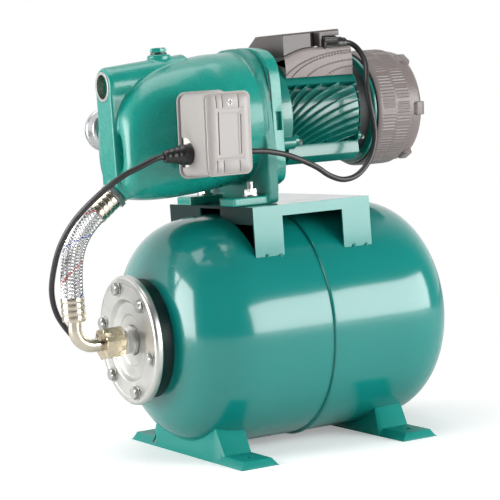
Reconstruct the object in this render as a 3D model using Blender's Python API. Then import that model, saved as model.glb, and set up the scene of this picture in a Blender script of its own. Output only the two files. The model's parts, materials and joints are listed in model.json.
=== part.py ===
"""Booster pump set: a jet pump and its motor carried on a horizontal pressure tank.

Metres, +Z up.  X runs along the tank, from its bolted flange to the fan end of the motor.
Stations along X are measured from the tank's weld seam and stations across Y from the tank's
axis; one empty then moves the whole set, so that the origin is the floor point under its middle.
"""
import math

import bmesh
import bpy
from mathutils import Matrix, Vector

# Clearances
GAP = 0.0003
RUNNING_GAP = 0.001

# Tank
TANK_RADIUS = 0.135
TANK_WALL = 0.0015
TANK_FLOOR_CLEARANCE = 0.007
TANK_Z = TANK_FLOOR_CLEARANCE + TANK_RADIUS
FRONT_DOME_START = 0.065
FRONT_DOME_DEPTH = 0.110
REAR_DOME_START = 0.085
REAR_DOME_DEPTH = 0.107
DOME_POWER = 3.2
TANK_SEGMENTS = 32
SEAM_BEAD_RADIUS = 0.0018
BLADDER_RADIUS = 0.108
BLADDER_WALL = 0.002

# Neck, flange and its fittings
NECK_RADIUS = 0.069
NECK_BORE = 0.047
FLANGE_RADIUS = 0.075
FLANGE_THICKNESS = 0.010
FLANGE_FACE_X = -0.1964
FLANGE_DISH_RADIUS = 0.044
FLANGE_DISH_DEPTH = 0.005
FLANGE_STEP_RADIUS = 0.030
FLANGE_BOLT_CIRCLE = 0.061
FLANGE_BOLT_COUNT = 6
FLANGE_BOLT_RADIUS = 0.004
FLANGE_BOLT_LENGTH = 0.016
BOLT_HEAD_RADIUS = 0.0075
BOLT_HEAD_HEIGHT = 0.0053
NIPPLE_RADIUS = 0.0166
NIPPLE_BORE = 0.0095
NIPPLE_END_RADIUS = 0.0135
NIPPLE_END_LENGTH = 0.012

# Air valve at the rear dome
VALVE_RADIUS = 0.006
VALVE_LENGTH = 0.016
VALVE_CAP_RADIUS = 0.011
VALVE_CAP_LENGTH = 0.018
VALVE_CAP_WALL = 0.002

# Feet
FOOT_REACH = 0.1419
FOOT_BASE_WIDTH = 0.049
FOOT_TOP_WIDTH = 0.034
FOOT_TOE_HEIGHT = 0.0085
FOOT_TOE_INSET = 0.005
FOOT_LIP = 0.0015
FOOT_SLOPE_BOTTOM = 0.090
FOOT_SLOPE_TOP = 0.070
FOOT_SHOULDER_HEIGHT = 0.0479
FOOT_SHEET = 0.002
FOOT_HOLE_RADIUS = 0.0045
FOOT_HOLE_INSET = 0.027
FRONT_FOOT_X = -0.111
REAR_FOOT_X = 0.1038

# Pump bracket on top of the tank
BRACKET_RISE = 0.0094
BRACKET_TOP = TANK_Z + TANK_RADIUS + BRACKET_RISE
BRACKET_HALF_WIDTH = 0.1028
BRACKET_FRONT_X = -0.0771
BRACKET_REAR_X = 0.0789
BRACKET_SHEET = 0.0025
BRACKET_APRON = 0.0125
BRACKET_LEG_WIDTH = 0.038
BRACKET_END_APRON = 0.020
BRACKET_NOTCH_WIDTH = 0.050

# Shaft line
SHAFT_HEIGHT = 0.1006
SHAFT_Z = BRACKET_TOP + SHAFT_HEIGHT
SHAFT_RADIUS = 0.007

# Pump casing
CASING_FLANGE_RADIUS = 0.082
CASING_FLANGE_FRONT_X = -0.038
CASING_FLANGE_THICKNESS = 0.014
CASING_FLANGE_BACK_X = CASING_FLANGE_FRONT_X + CASING_FLANGE_THICKNESS
CASING_FOOT_HALF_WIDTH = 0.067
CASING_FOOT_LENGTH = 0.042
CASING_FOOT_THICKNESS = 0.010
SPINE_FRONT_X = -0.203
SPINE_HALF_WIDTH = 0.0195
SPINE_BACK_X = -0.100
SPINE_BOTTOM_Z = SHAFT_Z - 0.083
PORT_Z = SHAFT_Z + 0.046
PORT_BOSS_RADIUS = 0.0215
PORT_RING_RADIUS = 0.0172
PORT_RING_LENGTH = 0.008
PORT_SEGMENTS = 20
PORT_RING_PROUD = 0.001
PORT_BORE = 0.0138
PORT_DEPTH = 0.062
DUCT_RISE = 0.007
DUCT_GROWTH = 0.0035
SEAT_RADIUS = 0.0105
FLAP_RADIUS = 0.0118
FLAP_DROP = 0.0008
FLAP_THICKNESS = 0.003
FLAP_DEPTH = 0.018
FLAP_PIN_RADIUS = 0.0015
FLAP_PIN_HALF_LENGTH = 0.0045
FILLER_X = -0.129
FILLER_TOP_Z = SHAFT_Z + 0.0790
FILLER_BOSS_RADIUS = 0.0135
FILLER_THREAD_RADIUS = 0.008
FILLER_HEX_RADIUS = 0.0098
FILLER_HEX_HEIGHT = 0.0055
FILLER_SHANK = 0.012
FILLER_SEAL_THICKNESS = 0.0015
OUTLET_X = -0.095
OUTLET_Z = SHAFT_Z + 0.020
OUTLET_RADIUS = 0.0215
OUTLET_REACH = 0.086
OUTLET_BORE = 0.0138

# Works inside the pump
WORKS_BORE = 0.060
WORKS_DEPTH = 0.118
WORKS_SEGMENTS = 18
IMPELLER_RADIUS = 0.052
IMPELLER_WIDTH = 0.012
IMPELLER_X = -0.050
IMPELLER_VANES = 6
DIFFUSER_RADIUS = WORKS_BORE - GAP
DIFFUSER_THICKNESS = 0.005
DIFFUSER_DEPTH = 0.024
EJECTOR_LENGTH = 0.060
EJECTOR_RADIUS = 0.016
EJECTOR_THROAT = 0.0065
SEAL_RADIUS = 0.013
SEAL_LENGTH = 0.014

# Motor bracket between pump and motor
PLATE_THICKNESS = 0.0135
PLATE_X = CASING_FLANGE_BACK_X + GAP
DRUM_RADIUS = 0.072
DRUM_END_X = 0.003
DRUM_WALL = 0.006
O_RING_RADIUS = 0.0655
O_RING_SECTION = 0.0017
EAR_RADIUS = 0.0085
EAR_CIRCLE = 0.0695
EAR_ANGLE = 30.0
FOOT_BOLT_X = -0.052
FOOT_BOLT_Y = 0.056
FOOT_BOLT_RADIUS = 0.004
FOOT_NUT_RADIUS = 0.0078
FOOT_NUT_HEIGHT = 0.0065
FOOT_WASHER_RADIUS = 0.0095
FOOT_WASHER_THICKNESS = 0.0016
FOOT_BOLT_RISE = 0.016

# Motor
HOUSING_END_X = 0.112
HOUSING_RADIUS = 0.0585
HOUSING_BORE = 0.0520
FIN_HEIGHT = 0.0055
FIN_THICKNESS = 0.0028
FIN_PITCH = 0.0098
FIN_COUNT = 11
FIN_SWEEP = 0.047
FIN_STEPS = 5
FIN_LOWEST = -0.66
FIN_HIGHEST = 0.72
TIE_BOSS_CIRCLE = 0.0625
TIE_BOSS_RADIUS = 0.0075
TIE_BOSS_LENGTH = 0.013
LEDGE_HALF_WIDTH = 0.053
LEDGE_TOP_Z = SHAFT_Z - 0.037
LEDGE_BOTTOM_Z = SHAFT_Z - 0.060
STATOR_RADIUS = HOUSING_BORE - GAP
STATOR_BORE = 0.0305
STATOR_LENGTH = 0.060
STATOR_X = 0.055
WINDING_RADIUS = 0.046
WINDING_LENGTH = 0.015
ROTOR_RADIUS = STATOR_BORE - RUNNING_GAP
BEARING_RADIUS = 0.0175
BEARING_WIDTH = 0.011
FRONT_BEARING_X = 0.003
SHIELD_THICKNESS = 0.010
SHIELD_RADIUS = 0.0640
FAN_RADIUS = 0.060
FAN_WIDTH = 0.022
FAN_X = 0.152
FAN_BLADES = 8
COVER_FRONT_X = 0.124
COVER_REAR_X = 0.2285
COVER_RADIUS = 0.0704
COVER_WALL = 0.0022
COVER_NOSE_RADIUS = 0.0545
COVER_BOSS_RADIUS = 0.0135
COVER_BOSS_HEIGHT = 0.004
COVER_SLOT_COUNT = 16
COVER_POST_CIRCLE = 0.0640
COVER_POST_RADIUS = 0.004
COVER_POST_LENGTH = 0.012

# Terminal box
SADDLE_FRONT_X = 0.008
SADDLE_REAR_X = 0.097
SADDLE_HALF_WIDTH = 0.052
SADDLE_TOP_Z = SHAFT_Z + 0.066
SADDLE_SKIRT_Z = SHAFT_Z + 0.040
BOX_FRONT_X = -0.021
BOX_REAR_X = 0.093
BOX_HALF_WIDTH = 0.038
BOX_TOP_Z = SHAFT_Z + 0.0945
BOX_WALL = 0.003
BOX_NOSE = 0.009
CAPACITOR_RADIUS = 0.0105
CAPACITOR_LENGTH = 0.060
MOTOR_GLAND_RADIUS = 0.0095
MOTOR_GLAND_LENGTH = 0.022
MOTOR_GLAND_Y = -0.028
MOTOR_GLAND_Z = SHAFT_Z + 0.081

# Pressure switch on the near side of the casing
SWITCH_FRONT_X = -0.1485
SWITCH_WIDTH = 0.0585
SWITCH_HEIGHT = 0.093
SWITCH_BOTTOM_Z = SHAFT_Z - 0.0605
SWITCH_BACK_Y = -0.0690
SWITCH_BASE_DEPTH = 0.010
SWITCH_COVER_REACH = 0.1417
SWITCH_WALL = 0.0025
SWITCH_CORNER = 0.008
SWITCH_GLAND_Z = SHAFT_Z - 0.035
SWITCH_GLAND_DEPTH = 0.029
SWITCH_GLAND_RADIUS = 0.0115
SWITCH_GLAND_LENGTH = 0.035
NOTCH_RADIUS = 0.018
NOTCH_DEPTH = 0.0265
NOTCH_Z = SHAFT_Z - 0.033
NIPPLE_ROD_RADIUS = 0.0068
NIPPLE_ROD_LENGTH = 0.018
SWITCH_NIPPLE_X = -0.119
SWITCH_NIPPLE_Z = SHAFT_Z - 0.014
LEVER_LENGTH = 0.050
LEVER_STANDOFF = 0.012
COVER_SCREW_RADIUS = 0.0042

# Gauge on the far side of the casing
GAUGE_X = -0.163
GAUGE_Z = SHAFT_Z - 0.004
GAUGE_RADIUS = 0.0255
GAUGE_BACK_Y = 0.066
GAUGE_DEPTH = 0.024
GAUGE_WALL = 0.0015
GAUGE_STEM_RADIUS = 0.0065

# Hose between pump and tank
HOSE_RADIUS = 0.0128
HOSE_BORE = 0.0085
HOSE_LEG_X = -0.2600
HOSE_ANGLE = math.radians(37.2)
HOSE_PORT_X = -0.1965
HOSE_PORT_Z = SHAFT_Z - 0.0755
PORT_NUT_RADIUS = 0.0165
PORT_NUT_HEIGHT = 0.0075
FERRULE_RADIUS = 0.0136
FERRULE_LENGTH = 0.027
ELBOW_PIPE_RADIUS = 0.0077
ELBOW_PIPE_BORE = 0.0060
ELBOW_BEND = 0.021
FERRULE_BOTTOM_Z = 0.1720
UNION_NUT_RADIUS = 0.0196
UNION_NUT_LENGTH = 0.0245
UNION_NUT_SETBACK = 0.010
COLLAR_THICKNESS = 0.003

# Cords
CORD_RADIUS = 0.00325
COIL_TUBE_RADIUS = 0.0075
COIL_RING_RADIUS = 0.0340
COIL_X = 0.040
COIL_Y = 0.165
PLUG_RELIEF_LENGTH = 0.022
PLUG_RELIEF_RADIUS = 0.0045
PLUG_LENGTH = 0.034
PLUG_WIDTH = 0.036
PLUG_HEIGHT = 0.026
PIN_RADIUS = 0.0024
PIN_LENGTH = 0.019
PIN_SPACING = 0.019

# Where the set's own middle lies, seen from the weld seam
SET_FRONT_X = HOSE_LEG_X - FERRULE_RADIUS
SET_REAR_X = COVER_REAR_X + COVER_BOSS_HEIGHT
MIDDLE_X = (SET_FRONT_X + SET_REAR_X) / 2

X_AXIS = Vector((1, 0, 0))
Y_AXIS = Vector((0, 1, 0))
Z_AXIS = Vector((0, 0, 1))


for old in list(bpy.data.objects):
    bpy.data.objects.remove(old, do_unlink=True)

assembly = bpy.data.objects.new("booster_pump_set", None)
assembly.location = (-MIDDLE_X, 0, 0)
bpy.context.scene.collection.objects.link(assembly)


# Materials

def finish(name, colour, roughness, metallic=0.0):
    """A plain Principled material in one colour."""
    material = bpy.data.materials.new(name)
    material.use_nodes = True
    shader = material.node_tree.nodes["Principled BSDF"]
    shader.inputs["Base Color"].default_value = (*colour, 1.0)
    shader.inputs["Roughness"].default_value = roughness
    shader.inputs["Metallic"].default_value = metallic
    return material


TEAL_PAINT = finish("teal_paint", (0.02, 0.36, 0.30), 0.28)
TEAL_CAST = finish("teal_cast", (0.02, 0.33, 0.25), 0.42)
ZINC = finish("zinc", (0.72, 0.73, 0.74), 0.35, 1.0)
NICKEL = finish("nickel", (0.66, 0.60, 0.48), 0.28, 1.0)
BRASS = finish("brass", (0.72, 0.53, 0.24), 0.32, 1.0)
STAINLESS = finish("stainless", (0.68, 0.68, 0.68), 0.30, 1.0)
STEEL = finish("steel", (0.50, 0.51, 0.52), 0.38, 1.0)
COPPER = finish("copper", (0.62, 0.29, 0.14), 0.40, 1.0)
GREY_PLASTIC = finish("grey_plastic", (0.105, 0.090, 0.088), 0.45)
PALE_PLASTIC = finish("pale_plastic", (0.50, 0.47, 0.45), 0.42)
BLACK_RUBBER = finish("black_rubber", (0.015, 0.014, 0.014), 0.50)
NORYL = finish("noryl", (0.06, 0.06, 0.065), 0.40)
CERAMIC = finish("ceramic", (0.80, 0.78, 0.72), 0.30)
CLEAR = finish("clear", (0.80, 0.82, 0.82), 0.05)


# Building helpers

def tidy_faces(bm):
    """Merge doubled points, drop empty faces and turn every face outwards."""
    bmesh.ops.remove_doubles(bm, verts=bm.verts, dist=1e-6)
    bmesh.ops.dissolve_degenerate(bm, dist=1e-7, edges=bm.edges)
    loose = [edge for edge in bm.edges if not edge.link_faces]
    bmesh.ops.delete(bm, geom=loose, context="EDGES")
    bmesh.ops.recalc_face_normals(bm, faces=bm.faces)


def make_object(name, bm, material, parent=None, smooth=True):
    """Turn a bmesh, in seam coordinates, into a named object under its parent empty."""
    tidy_faces(bm)
    mesh = bpy.data.meshes.new(name)
    bm.to_mesh(mesh)
    bm.free()
    thing = bpy.data.objects.new(name, mesh)
    bpy.context.scene.collection.objects.link(thing)
    mesh.materials.append(material)
    if smooth:
        mesh.shade_smooth()
        mesh.set_sharp_from_angle(angle=math.radians(32))
    carrier = parent or assembly
    thing.parent = carrier
    if parent is not None:
        mesh.transform(Matrix.Translation(-parent.location))
    return thing


def pivot(name, place):
    """An empty on a joint's axis; pieces made under it keep their origin there."""
    empty = bpy.data.objects.new(name, None)
    empty.location = place
    empty.parent = assembly
    bpy.context.scene.collection.objects.link(empty)
    return empty


def axis_frame(origin, direction):
    """A matrix whose own Z runs along the direction, standing on the origin."""
    turn = Vector(direction).normalized().to_track_quat("Z", "Y")
    return Matrix.Translation(origin) @ turn.to_matrix().to_4x4()


def add_turned(bm, profile, origin, direction, segments, closed=False, start=0.0):
    """Turn a profile of (distance along, radius) points about a line.

    An open profile begins and ends on the axis; a closed one makes a ring.
    """
    frame = axis_frame(origin, direction)
    rings = []
    for along, radius in profile:
        ring = []
        for i in range(segments):
            angle = start + 2 * math.pi * i / segments
            local = Vector((radius * math.cos(angle), radius * math.sin(angle), along))
            ring.append(bm.verts.new(frame @ local))
        rings.append(ring)
    pairs = list(zip(rings, rings[1:]))
    if closed:
        pairs.append((rings[-1], rings[0]))
    for one, two in pairs:
        for i in range(segments):
            j = (i + 1) % segments
            bm.faces.new((one[i], one[j], two[j], two[i]))
    if not closed:
        for ring, (along, radius) in ((rings[0], profile[0]), (rings[-1], profile[-1])):
            if radius > 1e-6:
                bm.faces.new(ring)
    return bm


def turned(name, profile, origin, direction, segments, material, closed=False, parent=None, start=0.0):
    """A turned piece as an object."""
    bm = bmesh.new()
    add_turned(bm, profile, origin, direction, segments, closed, start)
    return make_object(name, bm, material, parent)


def rod(radius, length, start=0.0):
    """The profile of a plain rod along its axis."""
    return [(start, radius), (start + length, radius)]


def tube_profile(outer, inner, length, start=0.0):
    """The closed profile of a plain sleeve."""
    return [(start, outer), (start + length, outer), (start + length, inner), (start, inner)]


def add_loft(bm, rings):
    """Skin a list of equal rings of points and cap both ends."""
    skin = [[bm.verts.new(p) for p in ring] for ring in rings]
    count = len(skin[0])
    for one, two in zip(skin, skin[1:]):
        for i in range(count):
            j = (i + 1) % count
            bm.faces.new((one[i], one[j], two[j], two[i]))
    bm.faces.new(skin[0])
    bm.faces.new(skin[-1])
    return bm


def add_prism(bm, outline, low, high, axis="Y"):
    """Extrude an outline between two stations of an axis.

    The outline's two numbers are the other two coordinates, in X, Y, Z order.
    """
    def at(pair, station):
        a, b = pair
        if axis == "X":
            return Vector((station, a, b))
        if axis == "Y":
            return Vector((a, station, b))
        return Vector((a, b, station))
    return add_loft(bm, [[at(p, low) for p in outline], [at(p, high) for p in outline]])


def add_box(bm, low, high):
    """A plain box between two corners."""
    outline = [(low[0], low[1]), (high[0], low[1]), (high[0], high[1]), (low[0], high[1])]
    return add_prism(bm, outline, low[2], high[2], "Z")


def guide(name, bm, parent=None):
    """A hidden cutter or filler for a Boolean."""
    thing = make_object(name, bm, STEEL, parent, smooth=False)
    thing.hide_render = True
    thing.display_type = "WIRE"
    return thing


def combine(thing, other, operation="DIFFERENCE"):
    """Cut or join another object into this one, and keep the other as a hidden guide."""
    other.hide_render = True
    other.display_type = "WIRE"
    modifier = thing.modifiers.new(operation.lower(), "BOOLEAN")
    modifier.operation = operation
    modifier.object = other
    modifier.solver = "EXACT"
    return thing


def cut_turned(thing, profile, origin, direction, segments=24, closed=False):
    """Cut a turned shape out of a piece."""
    bm = bmesh.new()
    add_turned(bm, profile, origin, direction, segments, closed)
    return combine(thing, guide(thing.name + "_cut", bm))


def cut_box(thing, low, high):
    """Cut a box out of a piece."""
    bm = bmesh.new()
    add_box(bm, low, high)
    return combine(thing, guide(thing.name + "_cut", bm))


def join_turned(thing, profile, origin, direction, segments=24, closed=False):
    """Add a turned boss to a piece."""
    bm = bmesh.new()
    add_turned(bm, profile, origin, direction, segments, closed)
    return combine(thing, guide(thing.name + "_boss", bm), "UNION")


def rounded_rectangle(half_a, half_b, corner, steps=4):
    """The outline of a rectangle with round corners, about its own middle."""
    points = []
    for quadrant in range(4):
        sign_a = 1 if quadrant in (0, 3) else -1
        sign_b = 1 if quadrant in (0, 1) else -1
        for i in range(steps + 1):
            angle = math.radians(90 * quadrant + 90 * i / steps)
            a = sign_a * (half_a - corner) + corner * math.cos(angle)
            b = sign_b * (half_b - corner) + corner * math.sin(angle)
            points.append((a, b))
    return points


def smooth_route(points, spacing):
    """Points every so often along a smooth curve through the given ones."""
    knots = [Vector(p) for p in points]
    knots = [2 * knots[0] - knots[1]] + knots + [2 * knots[-1] - knots[-2]]
    route = []
    for a, b, c, d in zip(knots, knots[1:], knots[2:], knots[3:]):
        steps = max(1, round((c - b).length / spacing))
        for i in range(steps):
            t = i / steps
            curve = 2 * b + (c - a) * t + (2 * a - 5 * b + 4 * c - d) * t ** 2
            curve += (3 * b - a - 3 * c + d) * t ** 3
            route.append(curve / 2)
    route.append(knots[-2])
    return route


def sweep_frames(route):
    """A pair of cross directions at each point of a route, carried along without twist."""
    frames = []
    side = None
    for i, point in enumerate(route):
        ahead = route[min(i + 1, len(route) - 1)]
        behind = route[max(i - 1, 0)]
        tangent = (ahead - behind).normalized()
        if side is None:
            side = tangent.orthogonal().normalized()
        side = (side - tangent * side.dot(tangent)).normalized()
        frames.append((side, tangent.cross(side)))
    return frames


def add_pipe(bm, route, outer, inner, segments):
    """A bent pipe with an open bore along a route."""
    frames = sweep_frames(route)
    skins = []
    for radius in (outer, inner):
        rings = []
        for point, (side, up) in zip(route, frames):
            ring = []
            for i in range(segments):
                angle = 2 * math.pi * i / segments
                offset = side * (radius * math.cos(angle)) + up * (radius * math.sin(angle))
                ring.append(bm.verts.new(point + offset))
            rings.append(ring)
        skins.append(rings)
    for rings in skins:
        for one, two in zip(rings, rings[1:]):
            for i in range(segments):
                j = (i + 1) % segments
                bm.faces.new((one[i], one[j], two[j], two[i]))
    for end in (0, -1):
        for i in range(segments):
            j = (i + 1) % segments
            bm.faces.new((skins[0][end][i], skins[0][end][j], skins[1][end][j], skins[1][end][i]))
    return bm


def cord_tube(name, points, radius, material, spacing=2.6):
    """A cord's plain tube: a POLY curve with round section and filled ends."""
    route = smooth_route(points, spacing * 2 * radius)
    curve = bpy.data.curves.new(name, "CURVE")
    curve.dimensions = "3D"
    curve.bevel_depth = radius
    curve.bevel_resolution = 2
    curve.use_fill_caps = True
    spline = curve.splines.new("POLY")
    spline.points.add(len(route) - 1)
    for knot, point in zip(spline.points, route):
        knot.co = (*point, 1.0)
    thing = bpy.data.objects.new(name, curve)
    bpy.context.scene.collection.objects.link(thing)
    thing.parent = assembly
    curve.materials.append(material)
    return thing


# Tank

def dome(start, depth, radius, to_radius, steps=6):
    """Half a superellipse from the cylinder's end to a smaller radius near the tip."""
    last = math.acos((to_radius / radius) ** (DOME_POWER / 2))
    points = []
    for i in range(steps + 1):
        t = last * i / steps
        along = start + depth * math.sin(t) ** (2 / DOME_POWER)
        points.append((along, radius * math.cos(t) ** (2 / DOME_POWER)))
    return points


def tank_lining(start, depth, opening):
    """The inside line of one tank half, from its opening back to the seam."""
    inner_radius = TANK_RADIUS - TANK_WALL
    return ([(GAP / 2, inner_radius)] + dome(start, depth - TANK_WALL, inner_radius, opening, 4))[::-1]


TANK_CENTRE = Vector((0, 0, TANK_Z))


def build_tank():
    """Two deep-drawn halves, the neck ring, the bladder and the rear air valve."""
    neck_end = -FLANGE_FACE_X - FLANGE_THICKNESS - GAP
    front = [(GAP / 2, TANK_RADIUS)] + dome(FRONT_DOME_START, FRONT_DOME_DEPTH, TANK_RADIUS, NECK_RADIUS)
    front += [(neck_end, NECK_RADIUS), (neck_end, NECK_BORE)]
    front += tank_lining(FRONT_DOME_START, FRONT_DOME_DEPTH, NECK_BORE)
    turned("tank_front_shell", front, TANK_CENTRE, -X_AXIS, TANK_SEGMENTS, TEAL_PAINT, closed=True)

    valve_hole = VALVE_RADIUS + GAP
    skin = [(GAP / 2, TANK_RADIUS)] + dome(REAR_DOME_START, REAR_DOME_DEPTH, TANK_RADIUS, valve_hole)
    skin += tank_lining(REAR_DOME_START, REAR_DOME_DEPTH, valve_hole)
    rear = turned("tank_rear_shell", skin, TANK_CENTRE, X_AXIS, TANK_SEGMENTS, TEAL_PAINT, closed=True)
    bead = []
    for i in range(4):
        angle = math.pi * i / 3
        bead.append((GAP + SEAM_BEAD_RADIUS * (1 - math.cos(angle)),
                     TANK_RADIUS - TANK_WALL / 2 + 2 * SEAM_BEAD_RADIUS * math.sin(angle)))
    join_turned(rear, bead, TANK_CENTRE, X_AXIS, TANK_SEGMENTS, closed=True)

    mouth = NECK_BORE - TANK_WALL - GAP
    outer = [(-neck_end, mouth), (-neck_end + 0.03, mouth), (-0.115, BLADDER_RADIUS * 0.88)]
    outer += [(-0.06, BLADDER_RADIUS), (0.06, BLADDER_RADIUS), (0.12, BLADDER_RADIUS * 0.82)]
    outer += [(0.15, BLADDER_RADIUS * 0.4), (0.155, 0.0)]
    inner = [(x - (BLADDER_WALL if i > 4 else 0), max(r - BLADDER_WALL, 0.0))
             for i, (x, r) in enumerate(outer)]
    turned("bladder", outer + inner[::-1], TANK_CENTRE, X_AXIS, 14, BLACK_RUBBER, closed=True)

    tip = REAR_DOME_START + REAR_DOME_DEPTH
    valve = [(tip - 0.012, 0.0), (tip - 0.012, VALVE_RADIUS), (tip + 0.0005, VALVE_RADIUS)]
    valve += [(tip + 0.0005, VALVE_RADIUS * 1.45), (tip + 0.003, VALVE_RADIUS * 1.45)]
    valve += [(tip + 0.003, VALVE_RADIUS * 0.65), (tip + VALVE_LENGTH, VALVE_RADIUS * 0.65)]
    valve += [(tip + VALVE_LENGTH, 0.0)]
    turned("air_valve", valve, TANK_CENTRE, X_AXIS, 16, BRASS)
    return tip


def build_valve_cap(tip):
    """The moulded cap pushed over the air valve."""
    base = tip + 0.003 + GAP
    axis = pivot("air_cap_slide", TANK_CENTRE + X_AXIS * base)
    bore = VALVE_RADIUS * 0.65 + GAP
    profile = [(0, VALVE_CAP_RADIUS), (VALVE_CAP_LENGTH - 0.003, VALVE_CAP_RADIUS)]
    profile += [(VALVE_CAP_LENGTH, VALVE_CAP_RADIUS - 0.003), (VALVE_CAP_LENGTH, 0.0)]
    crown = VALVE_CAP_LENGTH - VALVE_CAP_WALL
    profile += [(crown, 0.0), (crown, bore), (0, bore)]
    bm = bmesh.new()
    add_turned(bm, profile, axis.location, X_AXIS, 16, closed=True)
    make_object("air_valve_cap", bm, NORYL, axis)


def build_flange():
    """The galvanised flange: a stepped dish with a rolled rim, its screws and its nipple."""
    face = -FLANGE_FACE_X
    back = face - FLANGE_THICKNESS
    dish = face - FLANGE_DISH_DEPTH
    profile = [(back, FLANGE_RADIUS - 0.002), (back + 0.002, FLANGE_RADIUS), (face - 0.003, FLANGE_RADIUS)]
    profile += [(face, FLANGE_RADIUS - 0.004), (face, FLANGE_DISH_RADIUS + 0.004)]
    profile += [(dish, FLANGE_DISH_RADIUS), (dish, FLANGE_STEP_RADIUS)]
    profile += [(dish - 0.002, FLANGE_STEP_RADIUS - 0.003), (dish - 0.002, NIPPLE_RADIUS + GAP)]
    profile += [(back, NIPPLE_RADIUS + GAP)]
    flange = turned("tank_flange", profile, TANK_CENTRE, -X_AXIS, TANK_SEGMENTS, ZINC, closed=True)
    for i in range(FLANGE_BOLT_COUNT):
        angle = 2 * math.pi * (i + 0.25) / FLANGE_BOLT_COUNT
        offset = Vector((0, math.cos(angle), math.sin(angle))) * FLANGE_BOLT_CIRCLE
        head = [(face + GAP, 0.0), (face + GAP, BOLT_HEAD_RADIUS)]
        head += [(face + GAP + BOLT_HEAD_HEIGHT - 0.001, BOLT_HEAD_RADIUS)]
        head += [(face + GAP + BOLT_HEAD_HEIGHT, BOLT_HEAD_RADIUS - 0.0012)]
        head += [(face + GAP + BOLT_HEAD_HEIGHT, 0.0)]
        bolt = turned("flange_bolt_%d" % (i + 1), head, TANK_CENTRE + offset, -X_AXIS, 6, ZINC)
        shank_base = face + GAP - FLANGE_BOLT_LENGTH
        shank = rod(FLANGE_BOLT_RADIUS, FLANGE_BOLT_LENGTH + 0.001, shank_base)
        join_turned(bolt, shank, TANK_CENTRE + offset, -X_AXIS, 8)
        hole = rod(FLANGE_BOLT_RADIUS + GAP, FLANGE_BOLT_LENGTH + 0.002, shank_base - 0.001)
        cut_turned(flange, hole, TANK_CENTRE + offset, -X_AXIS, 8)
        cut_turned(bpy.data.objects["tank_front_shell"], hole, TANK_CENTRE + offset, -X_AXIS, 8)
    nut_back = -(HOSE_LEG_X + ELBOW_BEND) - UNION_NUT_SETBACK - UNION_NUT_LENGTH
    nipple_out = nut_back + NIPPLE_END_LENGTH
    nipple = [(back, NIPPLE_RADIUS), (nut_back - GAP, NIPPLE_RADIUS), (nut_back - GAP, NIPPLE_END_RADIUS)]
    nipple += [(nipple_out, NIPPLE_END_RADIUS), (nipple_out, NIPPLE_BORE), (back, NIPPLE_BORE)]
    turned("tank_nipple", nipple, TANK_CENTRE, -X_AXIS, 18, ZINC, closed=True)
    return nut_back, nipple_out


def foot_section(top, inset=0.0):
    """One cross section of a pressed foot: four corners of a drafted channel."""
    low = FOOT_BASE_WIDTH / 2 - inset
    high = FOOT_TOP_WIDTH / 2 - inset
    return [(-low, -inset), (-high, top - inset), (high, top - inset), (low, -inset)]


def foot_loft(x, stations, inset=0.0):
    """A channel along Y through (distance from the middle, height) stations, the same on both sides."""
    both = [(-reach, top) for reach, top in stations] + [(reach, top) for reach, top in stations[::-1]]
    bm = bmesh.new()
    add_loft(bm, [[Vector((x + a, y, b)) for a, b in foot_section(top, inset)] for y, top in both])
    return bm


def build_foot(name, x):
    """A pressed sheet saddle: drafted sides, sloped ends, flat toes and a cradle for the tank."""
    toe_end = FOOT_REACH - FOOT_TOE_INSET
    outside = [(FOOT_REACH, FOOT_LIP), (toe_end, FOOT_TOE_HEIGHT), (FOOT_SLOPE_BOTTOM, FOOT_TOE_HEIGHT)]
    outside += [(FOOT_SLOPE_TOP, FOOT_SHOULDER_HEIGHT)]
    foot = make_object(name, foot_loft(x, outside), TEAL_PAINT, smooth=False)
    inside = [(toe_end - FOOT_SHEET, FOOT_TOE_HEIGHT), (FOOT_SLOPE_BOTTOM - FOOT_SHEET, FOOT_TOE_HEIGHT)]
    inside += [(FOOT_SLOPE_TOP - FOOT_SHEET, FOOT_SHOULDER_HEIGHT)]
    bm = foot_loft(x, inside, FOOT_SHEET)
    hollow = guide(name + "_hollow", bm)
    bm = bmesh.new()
    add_turned(bm, rod(TANK_RADIUS + GAP + FOOT_SHEET, 0.4, -0.2), TANK_CENTRE, X_AXIS, TANK_SEGMENTS)
    combine(hollow, guide(name + "_keep", bm))
    combine(foot, hollow)
    bm = bmesh.new()
    side = -1 if x < 0 else 1
    start, depth, opening = FRONT_DOME_START, FRONT_DOME_DEPTH, NECK_RADIUS
    if x > 0:
        start, depth, opening = REAR_DOME_START, REAR_DOME_DEPTH, VALVE_RADIUS + GAP
    share = (TANK_RADIUS + GAP) / TANK_RADIUS
    saddle = [(-0.02, 0.0), (-0.02, TANK_RADIUS + GAP)]
    saddle += dome(start, depth * share, TANK_RADIUS + GAP, opening * share)
    saddle += [(saddle[-1][0], 0.0)]
    add_turned(bm, saddle, TANK_CENTRE, X_AXIS * side, TANK_SEGMENTS)
    combine(foot, guide(name + "_saddle", bm))
    for end in (-1, 1):
        place = Vector((x, end * (FOOT_REACH - FOOT_HOLE_INSET), -0.001))
        cut_turned(foot, rod(FOOT_HOLE_RADIUS, FOOT_TOE_HEIGHT + 0.002), place, Z_AXIS, 12)
    return foot


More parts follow.
